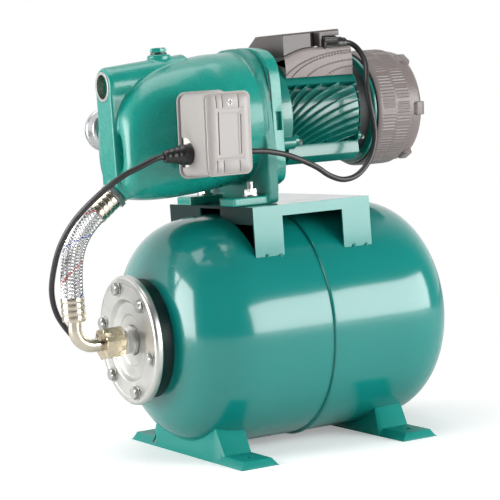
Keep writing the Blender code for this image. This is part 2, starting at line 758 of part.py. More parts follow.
def build_bracket():
    """The folded pump bracket: a top plate, side aprons with four legs, and notched end aprons."""
    half = BRACKET_HALF_WIDTH
    sheet = BRACKET_SHEET
    bm = bmesh.new()
    add_box(bm, (BRACKET_FRONT_X, -half, TANK_Z), (BRACKET_REAR_X, half, BRACKET_TOP))
    bracket = make_object("pump_bracket", bm, TEAL_PAINT, smooth=False)
    cut_box(bracket, (BRACKET_FRONT_X + sheet, -half + sheet, TANK_Z - 0.01),
            (BRACKET_REAR_X - sheet, half - sheet, BRACKET_TOP - sheet))
    leg = BRACKET_LEG_WIDTH
    cut_box(bracket, (BRACKET_FRONT_X + leg, -half - 0.01, TANK_Z - 0.02),
            (BRACKET_REAR_X - leg, half + 0.01, BRACKET_TOP - BRACKET_APRON))
    for x in (BRACKET_FRONT_X, BRACKET_REAR_X):
        cut_box(bracket, (x - 0.01, -half + sheet + 0.0003, TANK_Z - 0.02),
                (x + 0.01, half - sheet - 0.0003, BRACKET_TOP - BRACKET_END_APRON))
        cut_box(bracket, (x - 0.01, -BRACKET_NOTCH_WIDTH / 2, TANK_Z - 0.02),
                (x + 0.01, BRACKET_NOTCH_WIDTH / 2, BRACKET_TOP - sheet - 0.0004))
    bm = bmesh.new()
    add_turned(bm, rod(TANK_RADIUS + GAP, 0.4, -0.2), TANK_CENTRE, X_AXIS, TANK_SEGMENTS)
    combine(bracket, guide("pump_bracket_saddle", bm))
    for end in (-1, 1):
        place = Vector((FOOT_BOLT_X, end * FOOT_BOLT_Y, BRACKET_TOP - 0.01))
        cut_turned(bracket, rod(FOOT_BOLT_RADIUS + GAP, 0.02), place, Z_AXIS, 12)
    return bracket


# Pump

def shaft_point(x, y=0.0, z=0.0):
    """A point given from the shaft line."""
    return Vector((x, y, SHAFT_Z + z))


# Bell sections, front to back: station, top and bottom from the shaft line, half width, squareness
BELL_SECTIONS = (
    (-0.1975, 0.004, -0.061, 0.030, 2.4),
    (-0.1955, 0.014, -0.071, 0.039, 2.5),
    (-0.1900, 0.026, -0.079, 0.0455, 2.6),
    (-0.1790, 0.040, -0.084, 0.051, 2.7),
    (-0.1620, 0.0535, -0.0862, 0.057, 2.7),
    (-0.1400, 0.0630, -0.0865, 0.0625, 2.6),
    (-0.1100, 0.0705, -0.0850, 0.0668, 2.4),
    (-0.0880, 0.0738, -0.0828, 0.0682, 2.3),
    (-0.0700, 0.0758, -0.0805, 0.0732, 2.15),
    (-0.0330, 0.0770, -0.0770, 0.0770, 2.0),
)
BELL_RING_POINTS = 24
BELL_DISH = ((0.86, 0.002), (0.72, 0.012), (0.50, 0.018))


def superellipse(top, bottom, half_width, power, count, shrink=1.0):
    """Points round an upright superellipse, as (y, z) pairs from the shaft line."""
    middle = (top + bottom) / 2
    half_height = (top - bottom) / 2 * shrink
    points = []
    for i in range(count):
        angle = 2 * math.pi * i / count
        c, s = math.cos(angle), math.sin(angle)
        y = half_width * shrink * math.copysign(abs(c) ** (2 / power), c)
        z = middle + half_height * math.copysign(abs(s) ** (2 / power), s)
        points.append((y, z))
    return points


def build_casing():
    """The cast bell with its dished front, spine, duct, ports, flange and foot."""
    rings = []
    x, top, bottom, half, power = BELL_SECTIONS[0]
    for shrink, back in reversed(BELL_DISH):
        ring = superellipse(top, bottom, half, power, BELL_RING_POINTS, shrink)
        rings.append([shaft_point(x + back, y, z) for y, z in ring])
    for x, top, bottom, half, power in BELL_SECTIONS:
        ring = superellipse(top, bottom, half, power, BELL_RING_POINTS)
        rings.append([shaft_point(x, y, z) for y, z in ring])
    bm = bmesh.new()
    add_loft(bm, rings)
    casing = make_object("pump_casing", bm, TEAL_CAST)

    # flange: round above, drawn in to the foot below
    outline = []
    for i in range(25):
        angle = math.radians(-20 + 220 * i / 24)
        rise = CASING_FLANGE_RADIUS * math.sin(angle)
        outline.append((CASING_FLANGE_RADIUS * math.cos(angle), SHAFT_Z + rise))
    outline.append((-CASING_FOOT_HALF_WIDTH, BRACKET_TOP + GAP))
    outline.append((CASING_FOOT_HALF_WIDTH, BRACKET_TOP + GAP))
    bm = bmesh.new()
    add_prism(bm, outline, CASING_FLANGE_FRONT_X, CASING_FLANGE_BACK_X, "X")
    combine(casing, guide("casing_flange", bm), "UNION")

    # foot plate and the webs that carry it
    foot_front = CASING_FLANGE_FRONT_X - CASING_FOOT_LENGTH
    foot_bottom = BRACKET_TOP + GAP
    bm = bmesh.new()
    add_box(bm, (foot_front, -CASING_FOOT_HALF_WIDTH, foot_bottom),
            (CASING_FLANGE_FRONT_X + 0.002, CASING_FOOT_HALF_WIDTH, foot_bottom + CASING_FOOT_THICKNESS))
    combine(casing, guide("casing_foot", bm), "UNION")
    web = [(foot_front, foot_bottom + 0.001), (foot_front + 0.006, foot_bottom + 0.001)]
    web += [(foot_front + 0.010, SHAFT_Z - 0.055), (foot_front - 0.003, SHAFT_Z - 0.055)]
    bm = bmesh.new()
    add_prism(bm, web, -CASING_FOOT_HALF_WIDTH + 0.004, CASING_FOOT_HALF_WIDTH - 0.004, "Y")
    combine(casing, guide("casing_web", bm), "UNION")

    # spine: a flat upright rib cut back at its foot for the hose port
    tilt = Vector((-math.cos(HOSE_ANGLE), 0, -math.sin(HOSE_ANGLE)))
    seat = Vector((HOSE_PORT_X, 0, HOSE_PORT_Z))
    run = math.tan(HOSE_ANGLE)
    chin_z = seat.z + (seat.x - SPINE_FRONT_X) / run
    heel_x = seat.x + (seat.z - SPINE_BOTTOM_Z) * run
    outline = [(SPINE_FRONT_X, chin_z), (heel_x, SPINE_BOTTOM_Z), (SPINE_BACK_X, SPINE_BOTTOM_Z + 0.030)]
    outline += [(SPINE_BACK_X, PORT_Z), (SPINE_FRONT_X, PORT_Z)]
    bm = bmesh.new()
    add_prism(bm, outline, -SPINE_HALF_WIDTH, SPINE_HALF_WIDTH, "Y")
    combine(casing, guide("casing_spine", bm), "UNION")
    duct = []
    for share in (0.0, 0.03, 1.0):
        station = SPINE_FRONT_X + share * (SPINE_BACK_X - SPINE_FRONT_X)
        radius = PORT_BOSS_RADIUS - (0.002 if share == 0 else 0) + DUCT_GROWTH * share
        ring = []
        for i in range(18):
            angle = 2 * math.pi * i / 18
            ring.append(Vector((station, radius * math.cos(angle),
                                PORT_Z + DUCT_RISE * share + radius * math.sin(angle))))
        duct.append(ring)
    bm = bmesh.new()
    add_loft(bm, duct)
    combine(casing, guide("casing_duct", bm), "UNION")

    # bosses
    join_turned(casing, rod(PORT_NUT_RADIUS - 0.002, 0.03, -0.0308), seat, tilt, 18)
    filler = Vector((FILLER_X, 0, SHAFT_Z + 0.055))
    join_turned(casing, rod(FILLER_BOSS_RADIUS, FILLER_TOP_Z - filler.z), filler, Z_AXIS, 16)
    outlet = shaft_point(OUTLET_X, 0.05, OUTLET_Z - SHAFT_Z)
    join_turned(casing, rod(OUTLET_RADIUS, OUTLET_REACH - 0.05), outlet, Y_AXIS, 16)
    gauge_boss = Vector((GAUGE_X, 0.035, GAUGE_Z))
    gauge_seat = GAUGE_BACK_Y - 0.006
    join_turned(casing, rod(GAUGE_STEM_RADIUS + 0.004, gauge_seat - 0.035), gauge_boss, Y_AXIS, 12)
    switch_boss = Vector((SWITCH_NIPPLE_X, -0.045, SWITCH_NIPPLE_Z))
    switch_seat = -SWITCH_BACK_Y - 0.004
    join_turned(casing, rod(NIPPLE_ROD_RADIUS + 0.005, switch_seat - 0.045), switch_boss, -Y_AXIS, 12)

    # chambers and bores
    works = [(CASING_FLANGE_BACK_X + 0.001, 0), (CASING_FLANGE_BACK_X + 0.001, WORKS_BORE)]
    works += [(CASING_FLANGE_BACK_X - WORKS_DEPTH * 0.62, WORKS_BORE)]
    works += [(CASING_FLANGE_BACK_X - WORKS_DEPTH, WORKS_BORE * 0.78)]
    works += [(CASING_FLANGE_BACK_X - WORKS_DEPTH, 0)]
    cut_turned(casing, works, shaft_point(0), X_AXIS, WORKS_SEGMENTS)
    port = Vector((SPINE_FRONT_X, 0, PORT_Z))
    seat_x = FLAP_DEPTH - FLAP_THICKNESS / 2 - GAP
    ring_end = PORT_RING_LENGTH - PORT_RING_PROUD + GAP
    cut_turned(casing, rod(SEAT_RADIUS, seat_x + 0.002, -0.001), port, X_AXIS, 16)
    cut_turned(casing, rod(PORT_BORE, PORT_DEPTH - seat_x, seat_x), port, X_AXIS, 16)
    cut_turned(casing, rod(PORT_RING_RADIUS + GAP, ring_end + 0.001, -0.001), port, X_AXIS, PORT_SEGMENTS)
    cut_turned(casing, rod(ELBOW_PIPE_BORE, 0.062, -0.001), seat, -tilt, 12)
    cut_turned(casing, rod(FILLER_THREAD_RADIUS + GAP, 0.05, 0.005), filler, Z_AXIS, 12)
    cut_turned(casing, rod(OUTLET_BORE, 0.06, -0.02), outlet, Y_AXIS, 12)
    cut_turned(casing, rod(GAUGE_STEM_RADIUS + GAP, 0.05, 0.005), gauge_boss, Y_AXIS, 12)
    cut_turned(casing, rod(NIPPLE_ROD_RADIUS + GAP, 0.05, 0.005), switch_boss, -Y_AXIS, 12)
    for end in (-1, 1):
        place = Vector((FOOT_BOLT_X, end * FOOT_BOLT_Y, BRACKET_TOP - 0.002))
        cut_turned(casing, rod(FOOT_BOLT_RADIUS + GAP, CASING_FOOT_THICKNESS + 0.02), place, Z_AXIS, 12)
    return casing


def build_port():
    """The threaded insert in the suction port and the non-return flap behind it."""
    port = Vector((SPINE_FRONT_X - PORT_RING_PROUD, 0, PORT_Z))
    ring = tube_profile(PORT_RING_RADIUS, PORT_BORE, PORT_RING_LENGTH)
    turned("suction_port_ring", ring, port, X_AXIS, PORT_SEGMENTS, ZINC, closed=True)
    middle_z = PORT_Z - FLAP_DROP
    hinge_x = SPINE_FRONT_X + FLAP_DEPTH
    axis = pivot("flap_hinge", Vector((hinge_x, 0, middle_z + FLAP_RADIUS + 0.0002)))
    half = FLAP_THICKNESS / 2
    disc = [(-half, 0.0), (-half, FLAP_RADIUS), (half, FLAP_RADIUS), (half, FLAP_RADIUS * 0.5)]
    disc += [(half + 0.002, FLAP_RADIUS * 0.3), (half + 0.002, 0.0)]
    flap = turned("non_return_flap", disc, Vector((hinge_x, 0, middle_z)), X_AXIS, 20, BRASS, parent=axis)
    bm = bmesh.new()
    pin = rod(FLAP_PIN_RADIUS, 2 * FLAP_PIN_HALF_LENGTH, -FLAP_PIN_HALF_LENGTH)
    add_turned(bm, pin, axis.location, Y_AXIS, 8)
    combine(flap, guide("flap_pin", bm, axis), "UNION")


def build_filler():
    """The hex filler plug and its sealing washer, which rise as the plug unscrews."""
    base = Vector((FILLER_X, 0, FILLER_TOP_Z + GAP))
    washer_axis = pivot("filler_slide", base)
    bm = bmesh.new()
    washer = tube_profile(FILLER_HEX_RADIUS, FILLER_THREAD_RADIUS + GAP, FILLER_SEAL_THICKNESS)
    add_turned(bm, washer, base, Z_AXIS, 20, closed=True)
    make_object("filler_washer", bm, BLACK_RUBBER, washer_axis)
    plug_base = base + Z_AXIS * (FILLER_SEAL_THICKNESS + GAP)
    plug_axis = pivot("filler_axis", plug_base)
    bm = bmesh.new()
    head = [(0.0, 0.0), (0.0, FILLER_HEX_RADIUS), (FILLER_HEX_HEIGHT - 0.001, FILLER_HEX_RADIUS)]
    head += [(FILLER_HEX_HEIGHT, FILLER_HEX_RADIUS - 0.0014), (FILLER_HEX_HEIGHT, 0.0)]
    add_turned(bm, head, plug_base, Z_AXIS, 6)
    plug = make_object("filler_plug", bm, TEAL_CAST, plug_axis)
    bm = bmesh.new()
    add_turned(bm, rod(FILLER_THREAD_RADIUS, FILLER_SHANK + 0.002, -FILLER_SHANK), plug_base, Z_AXIS, 12)
    combine(plug, guide("filler_shank", bm, plug_axis), "UNION")


def add_vane(bm, index, low, high):
    """One backward-curved vane, extruded between two stations."""
    inner, outer = 0.016, IMPELLER_RADIUS - 0.001
    front, back = [], []
    for i in range(4):
        share = i / 3
        radius = inner + (outer - inner) * share
        angle = 2 * math.pi * index / IMPELLER_VANES + 1.1 * share
        half = 0.0012 / radius
        front.append((radius * math.cos(angle - half), SHAFT_Z + radius * math.sin(angle - half)))
        back.append((radius * math.cos(angle + half), SHAFT_Z + radius * math.sin(angle + half)))
    add_prism(bm, front + back[::-1], low, high, "X")


def build_works(shaft_axis):
    """Ejector, diffuser, impeller, shaft seal and the O-ring round the joint."""
    hub_front = IMPELLER_X - IMPELLER_WIDTH / 2
    bm = bmesh.new()
    plate = [(0, SHAFT_RADIUS + GAP), (0, IMPELLER_RADIUS), (0.0025, IMPELLER_RADIUS), (0.0025, 0.016)]
    plate += [(IMPELLER_WIDTH, 0.014), (IMPELLER_WIDTH, SHAFT_RADIUS + GAP)]
    back_plate = [(IMPELLER_WIDTH - a, r) for a, r in plate][::-1]
    add_turned(bm, back_plate, shaft_point(hub_front), X_AXIS, WORKS_SEGMENTS, closed=True)
    impeller = make_object("impeller", bm, BRASS, shaft_axis)
    vanes = bmesh.new()
    for i in range(IMPELLER_VANES):
        add_vane(vanes, i, hub_front + 0.001, hub_front + IMPELLER_WIDTH - 0.001)
    combine(impeller, guide("impeller_vanes", vanes, shaft_axis), "UNION")

    back = CASING_FLANGE_BACK_X - DIFFUSER_DEPTH - 0.014
    eye = 0.018
    diffuser = [(back, DIFFUSER_RADIUS), (back - DIFFUSER_THICKNESS, DIFFUSER_RADIUS)]
    disc = back - DIFFUSER_THICKNESS
    collar = disc - 0.008
    diffuser += [(disc, EJECTOR_RADIUS + 0.004), (collar, EJECTOR_RADIUS + 0.004)]
    diffuser += [(collar, EJECTOR_RADIUS + GAP), (back - 0.002, EJECTOR_RADIUS + GAP)]
    diffuser += [(back - 0.002, eye - 0.004), (back, eye - 0.004)]
    turned("diffuser", diffuser, shaft_point(0), X_AXIS, WORKS_SEGMENTS, NORYL, closed=True)

    nose = back - 0.002 - GAP
    throat = EJECTOR_THROAT
    venturi = [(nose, EJECTOR_RADIUS), (nose - EJECTOR_LENGTH * 0.7, EJECTOR_RADIUS * 0.72)]
    mouth = nose - EJECTOR_LENGTH
    venturi += [(mouth, EJECTOR_RADIUS * 0.95), (mouth, EJECTOR_RADIUS * 0.95 - 0.003)]
    venturi += [(nose - EJECTOR_LENGTH * 0.7, throat), (nose, EJECTOR_RADIUS - 0.003)]
    turned("ejector", venturi, shaft_point(0), X_AXIS, 12, NORYL, closed=True)

    seal_front = IMPELLER_X + IMPELLER_WIDTH / 2 + GAP
    seal_back = seal_front + SEAL_LENGTH
    seal = [(seal_front, SHAFT_RADIUS + GAP), (seal_front, SEAL_RADIUS - 0.003)]
    seal += [(seal_front + 0.006, SEAL_RADIUS - 0.003)]
    seal += [(seal_front + 0.006, SEAL_RADIUS), (seal_back, SEAL_RADIUS), (seal_back, SHAFT_RADIUS + GAP)]
    turned("shaft_seal", seal, shaft_point(0), X_AXIS, 12, CERAMIC, closed=True, parent=shaft_axis)

    section = []
    for i in range(6):
        angle = 2 * math.pi * i / 6
        section.append((CASING_FLANGE_BACK_X - O_RING_SECTION - GAP + O_RING_SECTION * math.cos(angle),
                        O_RING_RADIUS + O_RING_SECTION * math.sin(angle)))
    turned("casing_o_ring", section[::-1], shaft_point(0), X_AXIS, 20, BLACK_RUBBER, closed=True)
    groove_half = O_RING_SECTION + GAP
    groove = tube_profile(O_RING_RADIUS + groove_half, O_RING_RADIUS - groove_half,
                          2 * groove_half + 0.001, CASING_FLANGE_BACK_X - 2 * groove_half)
    cut_turned(bpy.data.objects["pump_casing"], groove, shaft_point(0), X_AXIS, 20, closed=True)
    return seal_back


def build_motor_bracket(seal_back):
    """The plate behind the casing flange and the drum that carries the front bearing."""
    plate_end = PLATE_X + PLATE_THICKNESS
    drum = [(PLATE_X, CASING_FLANGE_RADIUS), (plate_end, CASING_FLANGE_RADIUS)]
    drum += [(plate_end, DRUM_RADIUS + 0.002), (DRUM_END_X, DRUM_RADIUS), (DRUM_END_X, HOUSING_BORE - 0.004)]
    drum += [(plate_end, HOUSING_BORE - 0.006), (plate_end, BEARING_RADIUS + DRUM_WALL)]
    bearing_end = FRONT_BEARING_X + BEARING_WIDTH / 2
    drum += [(bearing_end, BEARING_RADIUS + DRUM_WALL), (bearing_end, BEARING_RADIUS + GAP)]
    drum += [(FRONT_BEARING_X - BEARING_WIDTH / 2 - GAP, BEARING_RADIUS + GAP)]
    drum += [(FRONT_BEARING_X - BEARING_WIDTH / 2 - GAP, SHAFT_RADIUS + RUNNING_GAP)]
    drum += [(seal_back + GAP, SHAFT_RADIUS + RUNNING_GAP), (seal_back + GAP, SEAL_RADIUS + RUNNING_GAP)]
    drum += [(PLATE_X, SEAL_RADIUS + RUNNING_GAP)]
    bracket = turned("motor_bracket", drum, shaft_point(0), X_AXIS, 24, TEAL_CAST, closed=True)
    for angle in (EAR_ANGLE, 180 - EAR_ANGLE, 180 + EAR_ANGLE, 360 - EAR_ANGLE):
        turn = math.radians(angle)
        spot = shaft_point(0, EAR_CIRCLE * math.cos(turn), EAR_CIRCLE * math.sin(turn))
        join_turned(bracket, rod(EAR_RADIUS, DRUM_END_X - PLATE_X - 0.002, PLATE_X + 0.001), spot, X_AXIS, 12)
    return bracket


# Motor

def fin_route(level, side):
    """A curved fin's foot line on the round housing, from its low front end to its high rear end.

    It rises as a quarter ellipse: steep at the front, level with the axis at the rear.
    """
    start, end = DRUM_END_X + 0.002, HOUSING_END_X - 0.001
    points = []
    for i in range(FIN_STEPS):
        x = start + (end - start) * i / (FIN_STEPS - 1)
        u = (end - x) / (end - start) * 0.93
        height = level - FIN_SWEEP * (1 - math.sqrt(1 - u * u))
        angle = height / HOUSING_RADIUS
        points.append((x, angle))
    return points


def add_fin(bm, level, side):
    """One fin as a swept strip standing on the housing."""
    half = FIN_THICKNESS / 2
    rings = []
    for x, angle in fin_route(level, side):
        if not FIN_LOWEST < angle < FIN_HIGHEST:
            continue
        ring = []
        root, tip = HOUSING_RADIUS - 0.002, HOUSING_RADIUS + FIN_HEIGHT
        for radius, offset in ((root, -half), (root, half), (tip, half * 0.7), (tip, -half * 0.7)):
            turn = angle + offset / HOUSING_RADIUS
            ring.append(shaft_point(x, side * radius * math.cos(turn), radius * math.sin(turn)))
        rings.append(ring)
    if len(rings) < 2:
        return False
    add_loft(bm, rings)
    return True


def build_housing():
    """The cast motor body: a round barrel with rising curved fins, a ledge and tie-bolt heads."""
    start = DRUM_END_X + GAP
    barrel = tube_profile(HOUSING_RADIUS, HOUSING_BORE, HOUSING_END_X - start, start)
    housing = turned("motor_housing", barrel, shaft_point(0), X_AXIS, 28, TEAL_PAINT, closed=True)
    fins = bmesh.new()
    for side in (-1, 1):
        for i in range(FIN_COUNT):
            add_fin(fins, 0.040 - FIN_PITCH * (i - 1), side)
    combine(housing, guide("housing_fins", fins), "UNION")
    ledge = [(-LEDGE_HALF_WIDTH, LEDGE_TOP_Z), (-LEDGE_HALF_WIDTH, LEDGE_TOP_Z - 0.014)]
    ledge += [(-LEDGE_HALF_WIDTH + 0.012, LEDGE_BOTTOM_Z), (LEDGE_HALF_WIDTH - 0.012, LEDGE_BOTTOM_Z)]
    ledge += [(LEDGE_HALF_WIDTH, LEDGE_TOP_Z - 0.014), (LEDGE_HALF_WIDTH, LEDGE_TOP_Z)]
    bm = bmesh.new()
    add_prism(bm, ledge, start + 0.001, HOUSING_END_X - 0.008, "X")
    filler = guide("housing_ledge", bm)
    bm = bmesh.new()
    add_turned(bm, rod(HOUSING_RADIUS - 0.002, 0.2, -0.05), shaft_point(0), X_AXIS, 20)
    combine(filler, guide("housing_ledge_trim", bm))
    combine(housing, filler, "UNION")
    ears = bmesh.new()
    for angle in (EAR_ANGLE, 180 - EAR_ANGLE, 180 + EAR_ANGLE, 360 - EAR_ANGLE):
        y = TIE_BOSS_CIRCLE * math.cos(math.radians(angle))
        z = TIE_BOSS_CIRCLE * math.sin(math.radians(angle))
        for low in (start + 0.0005, HOUSING_END_X - TIE_BOSS_LENGTH - 0.0005):
            ear = rod(TIE_BOSS_RADIUS, TIE_BOSS_LENGTH, low)
            add_turned(ears, ear, shaft_point(0, y, z), X_AXIS, 12, start=0.2)
    combine(housing, guide("housing_ears", ears), "UNION")
    return housing


def build_motor(shaft_axis):
    """Stator, rotor on its shaft, two bearings, end shield, fan and fan cover."""
    stator = tube_profile(STATOR_RADIUS, STATOR_BORE, STATOR_LENGTH, STATOR_X - STATOR_LENGTH / 2)
    stack = turned("stator", stator, shaft_point(0), X_AXIS, 14, COPPER, closed=True)
    for end in (-1, 1):
        base = STATOR_X + end * (STATOR_LENGTH / 2 - 0.001)
        winding = tube_profile(WINDING_RADIUS, STATOR_BORE + 0.003, WINDING_LENGTH)
        join_turned(stack, winding, shaft_point(base), X_AXIS * end, 12, closed=True)
    front = IMPELLER_X - IMPELLER_WIDTH / 2
    rear = FAN_X + FAN_WIDTH / 2
    turned("motor_shaft", [(front, 0), (front, SHAFT_RADIUS), (rear, SHAFT_RADIUS), (rear, 0)],
           shaft_point(0), X_AXIS, 14, STEEL, parent=shaft_axis)
    half = STATOR_LENGTH / 2 + 0.003
    rotor = tube_profile(ROTOR_RADIUS, SHAFT_RADIUS + GAP, 2 * half, STATOR_X - half)
    turned("rotor", rotor, shaft_point(0), X_AXIS, 18, STEEL, closed=True, parent=shaft_axis)
    rear_bearing_x = HOUSING_END_X + SHIELD_THICKNESS / 2
    for name, x in (("front_bearing", FRONT_BEARING_X), ("rear_bearing", rear_bearing_x)):
        ring = tube_profile(BEARING_RADIUS, SHAFT_RADIUS + GAP, BEARING_WIDTH, x - BEARING_WIDTH / 2)
        turned(name, ring, shaft_point(0), X_AXIS, 14, STEEL, closed=True)
    shield_front = HOUSING_END_X + GAP
    pocket = rear_bearing_x - BEARING_WIDTH / 2 - GAP
    shield = [(shield_front, SHIELD_RADIUS), (shield_front + SHIELD_THICKNESS, SHIELD_RADIUS)]
    shield += [(shield_front + SHIELD_THICKNESS, BEARING_RADIUS + 0.012)]
    shield += [(rear_bearing_x + BEARING_WIDTH / 2 + 0.002, BEARING_RADIUS + 0.006)]
    seat_end = rear_bearing_x + BEARING_WIDTH / 2 + 0.002
    shield += [(seat_end, BEARING_RADIUS + GAP), (pocket, BEARING_RADIUS + GAP)]
    shield += [(pocket, SHAFT_RADIUS + RUNNING_GAP), (pocket - 0.003, SHAFT_RADIUS + RUNNING_GAP)]
    shield += [(pocket - 0.003, BEARING_RADIUS + 0.006), (shield_front, BEARING_RADIUS + 0.012)]
    turned("end_shield", shield, shaft_point(0), X_AXIS, 24, TEAL_CAST, closed=True)

    bm = bmesh.new()
    hub = tube_profile(0.018, SHAFT_RADIUS + GAP, FAN_WIDTH, FAN_X - FAN_WIDTH / 2)
    add_turned(bm, hub, shaft_point(0), X_AXIS, 14, closed=True)
    fan = make_object("fan", bm, NORYL, shaft_axis)
    disc = tube_profile(FAN_RADIUS, SHAFT_RADIUS + 0.002, 0.0025, FAN_X - FAN_WIDTH / 2 + 0.001)
    bm = bmesh.new()
    add_turned(bm, disc, shaft_point(0), X_AXIS, 20, closed=True)
    combine(fan, guide("fan_disc", bm, shaft_axis), "UNION")
    blades = bmesh.new()
    for i in range(FAN_BLADES):
        turn = 2 * math.pi * (i + 0.3) / FAN_BLADES
        tip = FAN_RADIUS - 0.0015
        blade = [(0.0014, 0.013), (0.0014, tip), (-0.0014, tip), (-0.0014, 0.013)]
        outline = [(a * math.cos(turn) + b * math.sin(turn),
                    SHAFT_Z - a * math.sin(turn) + b * math.cos(turn))
                   for a, b in blade]
        add_prism(blades, outline, FAN_X - FAN_WIDTH / 2 + 0.002, FAN_X + FAN_WIDTH / 2 - 0.002, "X")
    combine(fan, guide("fan_blades", blades, shaft_axis), "UNION")


def build_fan_cover():
    """The ribbed fan cover: a drum clipped over the end shield, slotted at its back."""
    wall = COVER_WALL
    span = COVER_REAR_X - COVER_FRONT_X
    outer = [(COVER_FRONT_X, COVER_RADIUS - 0.0015), (COVER_FRONT_X + 0.004, COVER_RADIUS)]
    outer += [(COVER_FRONT_X + span * 0.62, COVER_RADIUS - 0.0015)]
    outer += [(COVER_FRONT_X + span * 0.80, COVER_RADIUS - 0.006)]
    outer += [(COVER_REAR_X - 0.005, COVER_NOSE_RADIUS + 0.003), (COVER_REAR_X, COVER_NOSE_RADIUS - 0.004)]
    outer += [(COVER_REAR_X, COVER_BOSS_RADIUS + 0.001)]
    outer += [(COVER_REAR_X + COVER_BOSS_HEIGHT, COVER_BOSS_RADIUS - 0.001)]
    outer += [(COVER_REAR_X + COVER_BOSS_HEIGHT, 0)]
    inner = [(COVER_REAR_X - wall, 0), (COVER_REAR_X - wall, COVER_NOSE_RADIUS - 0.006)]
    inner += [(COVER_FRONT_X + span * 0.80, COVER_RADIUS - 0.006 - wall)]
    inner += [(COVER_FRONT_X, COVER_RADIUS - 0.0015 - wall)]
    cover = turned("fan_cover", outer + inner, shaft_point(0), X_AXIS, 28, GREY_PLASTIC, closed=True)
    slots = bmesh.new()
    for i in range(COVER_SLOT_COUNT):
        spoke = bmesh.new()
        add_box(spoke, (COVER_REAR_X - 2 * wall, -0.0015, COVER_BOSS_RADIUS + 0.010),
                (COVER_REAR_X + 0.01, 0.0015, COVER_NOSE_RADIUS - 0.010))
        turn = Matrix.Rotation(2 * math.pi * (i + 0.5) / COVER_SLOT_COUNT, 4, "X")
        bmesh.ops.transform(spoke, matrix=Matrix.Translation((0, 0, SHAFT_Z)) @ turn, verts=spoke.verts)
        piece = bpy.data.meshes.new("slot")
        spoke.to_mesh(piece)
        slots.from_mesh(piece)
        spoke.free()
        bpy.data.meshes.remove(piece)
    combine(cover, guide("fan_cover_slots", slots))
    post_start = HOUSING_END_X + GAP + SHIELD_THICKNESS + GAP
    for angle in (EAR_ANGLE, 180 - EAR_ANGLE, 180 + EAR_ANGLE, 360 - EAR_ANGLE):
        y = COVER_POST_CIRCLE * math.cos(math.radians(angle))
        z = COVER_POST_CIRCLE * math.sin(math.radians(angle))
        post = rod(COVER_POST_RADIUS, COVER_POST_LENGTH, post_start)
        join_turned(cover, post, shaft_point(0, y, z), X_AXIS, 8)
    return cover


